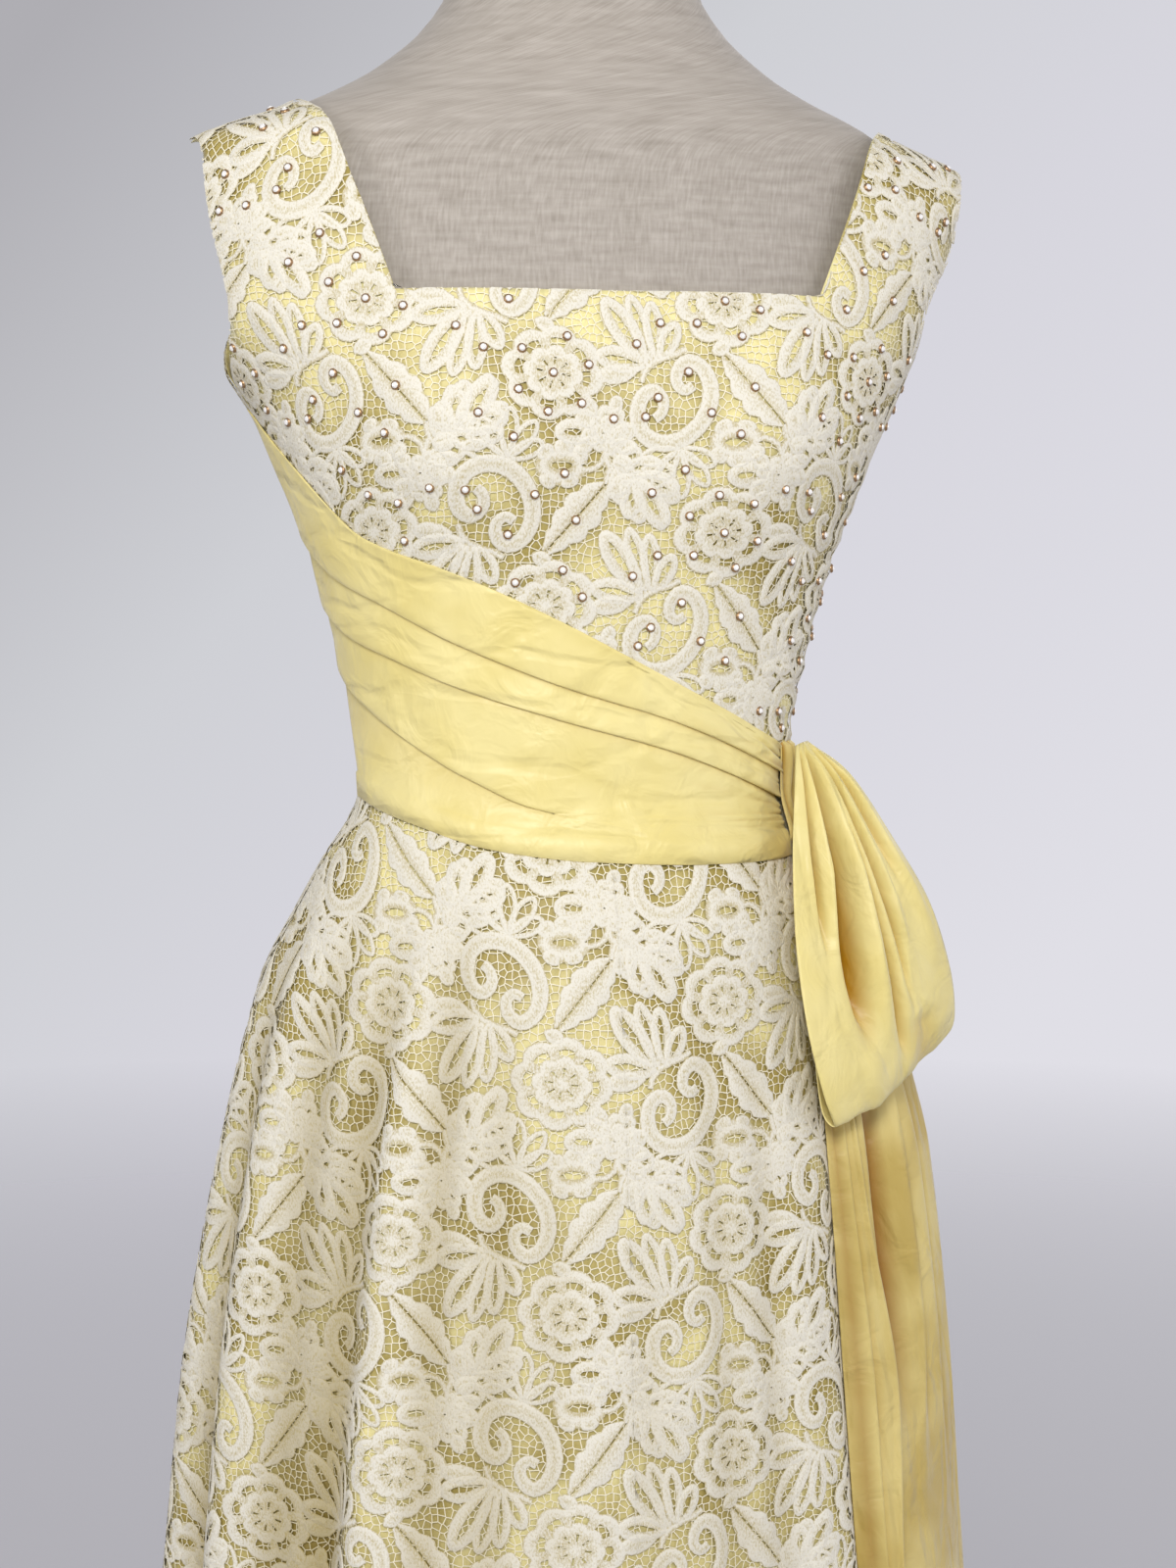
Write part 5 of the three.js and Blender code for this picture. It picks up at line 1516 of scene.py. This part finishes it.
def sash_front_grid():
    """The pleated front's points, flat places and valleys. Its pleats and wrinkles draw in at the gather."""
    turns = np.linspace(-SIDE + 0.1, SASH_END, SASH_GRID["columns"])
    sections = []
    for turn in turns:
        lines = [float(sash_at[name](turn)) for name in SASH_COLUMNS[1:]]
        sections.append(sash_section(lines, float(waist_at(turn)) + SASH_OVER_WAIST, turn))
    heights, outs, valleys = np.array(sections).transpose(2, 1, 0)
    angles = turns[None] * np.ones_like(heights)
    points = body_points(angles, heights)
    along = (turns[None] + SIDE) / (SASH_END + SIDE)
    rows = np.linspace(0, 1, len(heights))[:, None]
    near_gather = smoothstep(along, 0.72, 1.0)
    pulled = wrinkles(along * 1.5, rows * 7.5, 9)
    coarse = 0.3 + 0.5 * smoothstep(along, 0.5, 0.95)
    outs = outs + coarse * wrinkles(along * 2.2, rows * 3.4 + along * 0.5, 1)
    outs = outs + 0.25 * wrinkles(along * 6, rows * 5 - along * 2.6, 5)
    outs = outs + 1.1 * near_gather * pulled + np.maximum(ripple(points), 0)
    for turn, height, slope, width, dip in SASH_DIMPLES:
        aside = (heights - height - slope * (angles - turn)) / width
        outs = outs - dip * np.exp(-aside * aside - ((angles - turn) / 9) ** 2)
    # Painted shade in the pulled wrinkles near the gather, on top of that under each pleat's lip.
    valleys = np.maximum(valleys, near_gather * np.clip(-pulled, 0, 1) * 0.8)
    return over_body(points, outs), flat_places(heights, along_rows(points)), valleys


def sash_back_grid():
    """The plain back band, with a hem's edge pressed along both sides."""
    angles = np.linspace(SASH_BACK_START, 270 - 0.1, SASH_GRID["back_columns"])[None]
    rise, outs = np.array(SASH_BACK).T[..., None]
    heights = waist_at(wrapped(angles)) + rise
    points = body_points(angles, heights)
    outs = outs + 0.35 * wrinkles(angles / 60, rise / SASH_BACK_HEIGHT + angles / 300, 4)
    return over_body(points, outs), flat_places(heights, along_rows(points))


def gather_grid():
    """The gathered stub: a bundle of upright flutes, rounded at its ends and sides."""
    angles = np.linspace(GATHER["from"], GATHER["to"], SASH_GRID["gather_columns"])[None]
    share = np.linspace(0, 1, SASH_GRID["gather_rows"])[:, None]
    heights = mix(GATHER["bottom"], GATHER["top"], share)
    points = body_points(angles, heights)
    turn = (angles - GATHER["from"]) / (GATHER["to"] - GATHER["from"])
    flutes = 1.5 * np.sin(turn * 21 + 2.2 * share) + 0.7 * np.sin(turn * 13 - 3 * share + 1)
    rounded = np.clip(1 - (2 * share - 1) ** 6, 0, 1) ** 0.5
    bulge = GATHER["proud"] * np.sin(np.pi * np.clip(turn, 0.04, 0.96)) ** 0.4
    # Painted shade: the flutes' valleys take the shade colour, and the whole gather takes a quarter of it.
    valleys = np.clip(-flutes / VALLEY_FULL["gather"], 0, 1) * 0.7 + 0.25
    return over_body(points, (bulge + flutes) * rounded), flat_places(along_rows(points), heights), valleys


class GOWN_OT_sash(bpy.types.Operator):
    """Make the pleated sash, its plain back and the gather that holds the bow"""

    bl_idname = "gown.sash"
    bl_label = "Sash"

    def execute(self, context):
        backs = ["bodice_back_left_net", "bodice_back_right_net"]
        for name, node, grid, held, rests_on in (
            ("sash_front_pleats", "sash_front", sash_front_grid(), "folded", ["bodice_front_net"]),
            ("sash_back_band", "sash_back", sash_back_grid(), "folded", backs),
            ("sash_gathers", "sash_gather", gather_grid(), "gathered", ["sash_front_pleats"]),
        ):
            bm = start_mesh()
            grid_into(bm, *grid)
            finish_sheet(finish_piece(name, bm, "satin"), node, held, rests_on, wall="sash_wall")
        return {"FINISHED"}


def loop_grid():
    """The hanging loop: a strip between two edges, with its creases, its puff and fine wrinkles."""
    steps = LOOP_GRID["rows"]
    near, far = (spline([row[i] for row in LOOP], steps) for i in (0, 1))
    share = np.linspace(0, 1, LOOP_GRID["columns"])[None]
    t = np.linspace(0, 1, steps)[:, None]
    span, middle = far - near, (near + far) / 2
    out = unit(np.cross(np.gradient(middle, axis=0), span))
    room = np.minimum(1, np.linalg.norm(span, axis=1)[:, None] / LOOP_FULL_WIDTH)
    sides = smoothstep(share, 0, 0.12) * smoothstep(1 - share, 0, 0.12)
    folds = room * creases(LOOP_CREASES, share, t)
    depth = folds + LOOP_PUFF * room * np.sin(np.pi * share) ** 0.7
    depth = depth + 0.5 * room * sides * wrinkles(t * 5, share * 1.6 + t * 0.4, 7)
    points = near[:, None] + span[:, None] * share[..., None] + out[:, None] * depth[..., None]
    run = np.cumsum(np.concatenate([[0], np.linalg.norm(np.diff(middle, axis=0), axis=1)]))
    # Painted shade: the loop's crease valleys take the shade colour by how far in they go.
    valleys = np.clip(-folds / VALLEY_FULL["loop"], 0, 1)
    return points, flat_places(share * LOOP_CUT_WIDTH, run[:, None]), valleys


def tail_grid(tail):
    """One of the long ends. Its near edge lies on the skirt, and the rest hangs just clear of it."""
    curves = table_curves(TAIL_COLUMNS, tail["stations"])
    heights = [row[0] for row in tail["stations"]]
    top, bottom = max(heights), min(heights)
    z = mix(bottom, top, np.linspace(0, 1, TAIL_ROWS)[:, None])
    part = np.linspace(0, 1, tail["columns"])[None]
    deep = smoothstep(top - z, 10, 120)
    angles = mix(curves["from"](z) - tail["tuck"] * deep, curves["to"](z), part)
    down = (top - z) / (top - bottom)
    fold = smoothstep(top - z, 0, 40) * creases(tail["creases"], part, down)
    fold = fold + 0.3 * deep * wrinkles(down * 6, part * 1.2 + down * 0.3, 11)
    proud = mix(curves["near_proud"](z), curves["far_proud"](z), part) + fold
    on_skirt = fold_out(angles, z * np.ones_like(angles)) + TAIL_OFF_SKIRT
    proud = mix(proud, on_skirt, deep * smoothstep(0.16 - part, 0, 0.16))
    proud = np.maximum(proud, mix(on_skirt, TAIL_LEAST_GAP, smoothstep(part, 0.2, 0.5)))
    points = skirt_points(angles, z, proud, folded=0.0)
    # The last value is painted shade in the valleys of the end's creases.
    return points, flat_places(along_rows(points), z), np.clip(-fold / VALLEY_FULL["ends"], 0, 1)


class GOWN_OT_bow(bpy.types.Operator):
    """Make the bow's hanging loop and its two long ends"""

    bl_idname = "gown.bow"
    bl_label = "Bow"

    def execute(self, context):
        bm = start_mesh()
        grid_into(bm, *loop_grid())
        loop = finish_piece("bow_hanging_loop", bm, "satin")
        # Its edges run the other way round from the rest, so its faces are turned to look out.
        loop.data.flip_normals()
        finish_sheet(loop, "bow_loop", "gathered", ["sash_gathers"], wall="sash_wall")
        for name, tail in TAILS.items():
            bm = start_mesh()
            grid_into(bm, *tail_grid(tail))
            piece = finish_piece(name.replace("tail", "end"), bm, "ends")
            finish_sheet(piece, name, "hung", ["skirt_front_net"], wall="sash_wall", offset=1.0)
        return {"FINISHED"}


# ---------- The stage ----------
def aimed(name, data, place, way):
    """Puts a lamp or a camera in the scene, looking along a way."""
    made = bpy.data.objects.new(name, data)
    made.location = place
    made.rotation_euler = way.to_track_quat("-Z", "Y").to_euler()
    bpy.context.scene.collection.objects.link(made)
    return made


class GOWN_OT_stage(bpy.types.Operator):
    """Make the floor, the soft lights and the camera"""

    bl_idname = "gown.stage"
    bl_label = "Stage"

    def execute(self, context):
        bm = bmesh.new()
        bmesh.ops.create_grid(bm, x_segments=1, y_segments=1, size=FLOOR["half"])
        mesh = bpy.data.meshes.new("floor")
        bm.to_mesh(mesh)
        bm.free()
        mesh.materials.append(material_of("floor"))
        floor = bpy.data.objects.new("floor", mesh)
        context.scene.collection.objects.link(floor)
        world = bpy.data.worlds.new("studio")
        context.scene.world = world
        world.use_nodes = True
        tree = world.node_tree
        way = add(tree, "ShaderNodeTexCoord", "Generated")
        slope = {0: way, 1: BACKDROP_SLOPE}
        lean = add(tree, "ShaderNodeVectorMath", "Value", slope, operation="DOT_PRODUCT")
        reach = {"Value": lean, "From Min": -BACKDROP_REACH, "From Max": BACKDROP_REACH}
        place = add(tree, "ShaderNodeMapRange", "Result", reach)
        stops = [(stop, linear(grey)) for stop, grey in BACKDROP]
        shade = add(tree, "ShaderNodeValToRGB", "Color", {"Fac": place}, stops)
        tree.links.new(shade, tree.nodes["Background"].inputs["Color"])
        context.scene.view_settings.view_transform = "Standard"
        for name, facts in LIGHTS.items():
            lamp = bpy.data.lights.new(name, "AREA")
            lamp.size = facts["width"]
            lamp.energy = facts["power"]
            aimed(name, lamp, facts["place"], Vector(LIGHT_TARGET) - Vector(facts["place"]))
        azimuth, elevation = math.radians(CAMERA["azimuth"]), math.radians(CAMERA["elevation"])
        level = math.cos(elevation)
        away = Vector((math.sin(azimuth) * level, -math.cos(azimuth) * level, math.sin(elevation)))
        camera_data = bpy.data.cameras.new("camera")
        camera_data.sensor_width = SENSOR_MM
        camera_data.lens = SENSOR_MM / 2 / math.tan(math.radians(CAMERA["half_view"]))
        place = Vector(CAMERA["aim"]) + away * CAMERA["distance"]
        context.scene.camera = aimed("camera", camera_data, place, -away)
        return {"FINISHED"}


class GOWN_PT_sidebar(bpy.types.Panel):
    """Lists the gown's pieces, sizes and colours"""

    bl_idname = "GOWN_PT_sidebar"
    bl_label = "Gown"
    bl_space_type = "VIEW_3D"
    bl_region_type = "UI"
    bl_category = "Gown"

    def draw(self, context):
        for operator in OPERATORS:
            self.layout.operator(operator.bl_idname)
        for group in (context.scene.gown_sizes, context.scene.gown_colours):
            for name in group.__annotations__:
                self.layout.prop(group, name)


OPERATORS = (
    GOWN_OT_dress_form, GOWN_OT_underdress, GOWN_OT_lace, GOWN_OT_stones, GOWN_OT_sash, GOWN_OT_bow,
    GOWN_OT_stage,
)
CLASSES = (GownSizes, GownColours, *OPERATORS, GOWN_PT_sidebar)


def register():
    for item in CLASSES:
        bpy.utils.register_class(item)
    bpy.types.Scene.gown_sizes = bpy.props.PointerProperty(type=GownSizes)
    bpy.types.Scene.gown_colours = bpy.props.PointerProperty(type=GownColours)


def unregister():
    del bpy.types.Scene.gown_colours
    del bpy.types.Scene.gown_sizes
    for item in reversed(CLASSES):
        bpy.utils.unregister_class(item)


def main():
    register()
    for operator in OPERATORS:
        group, name = operator.bl_idname.split(".")
        getattr(getattr(bpy.ops, group), name)()


if __name__ == "__main__":
    main()
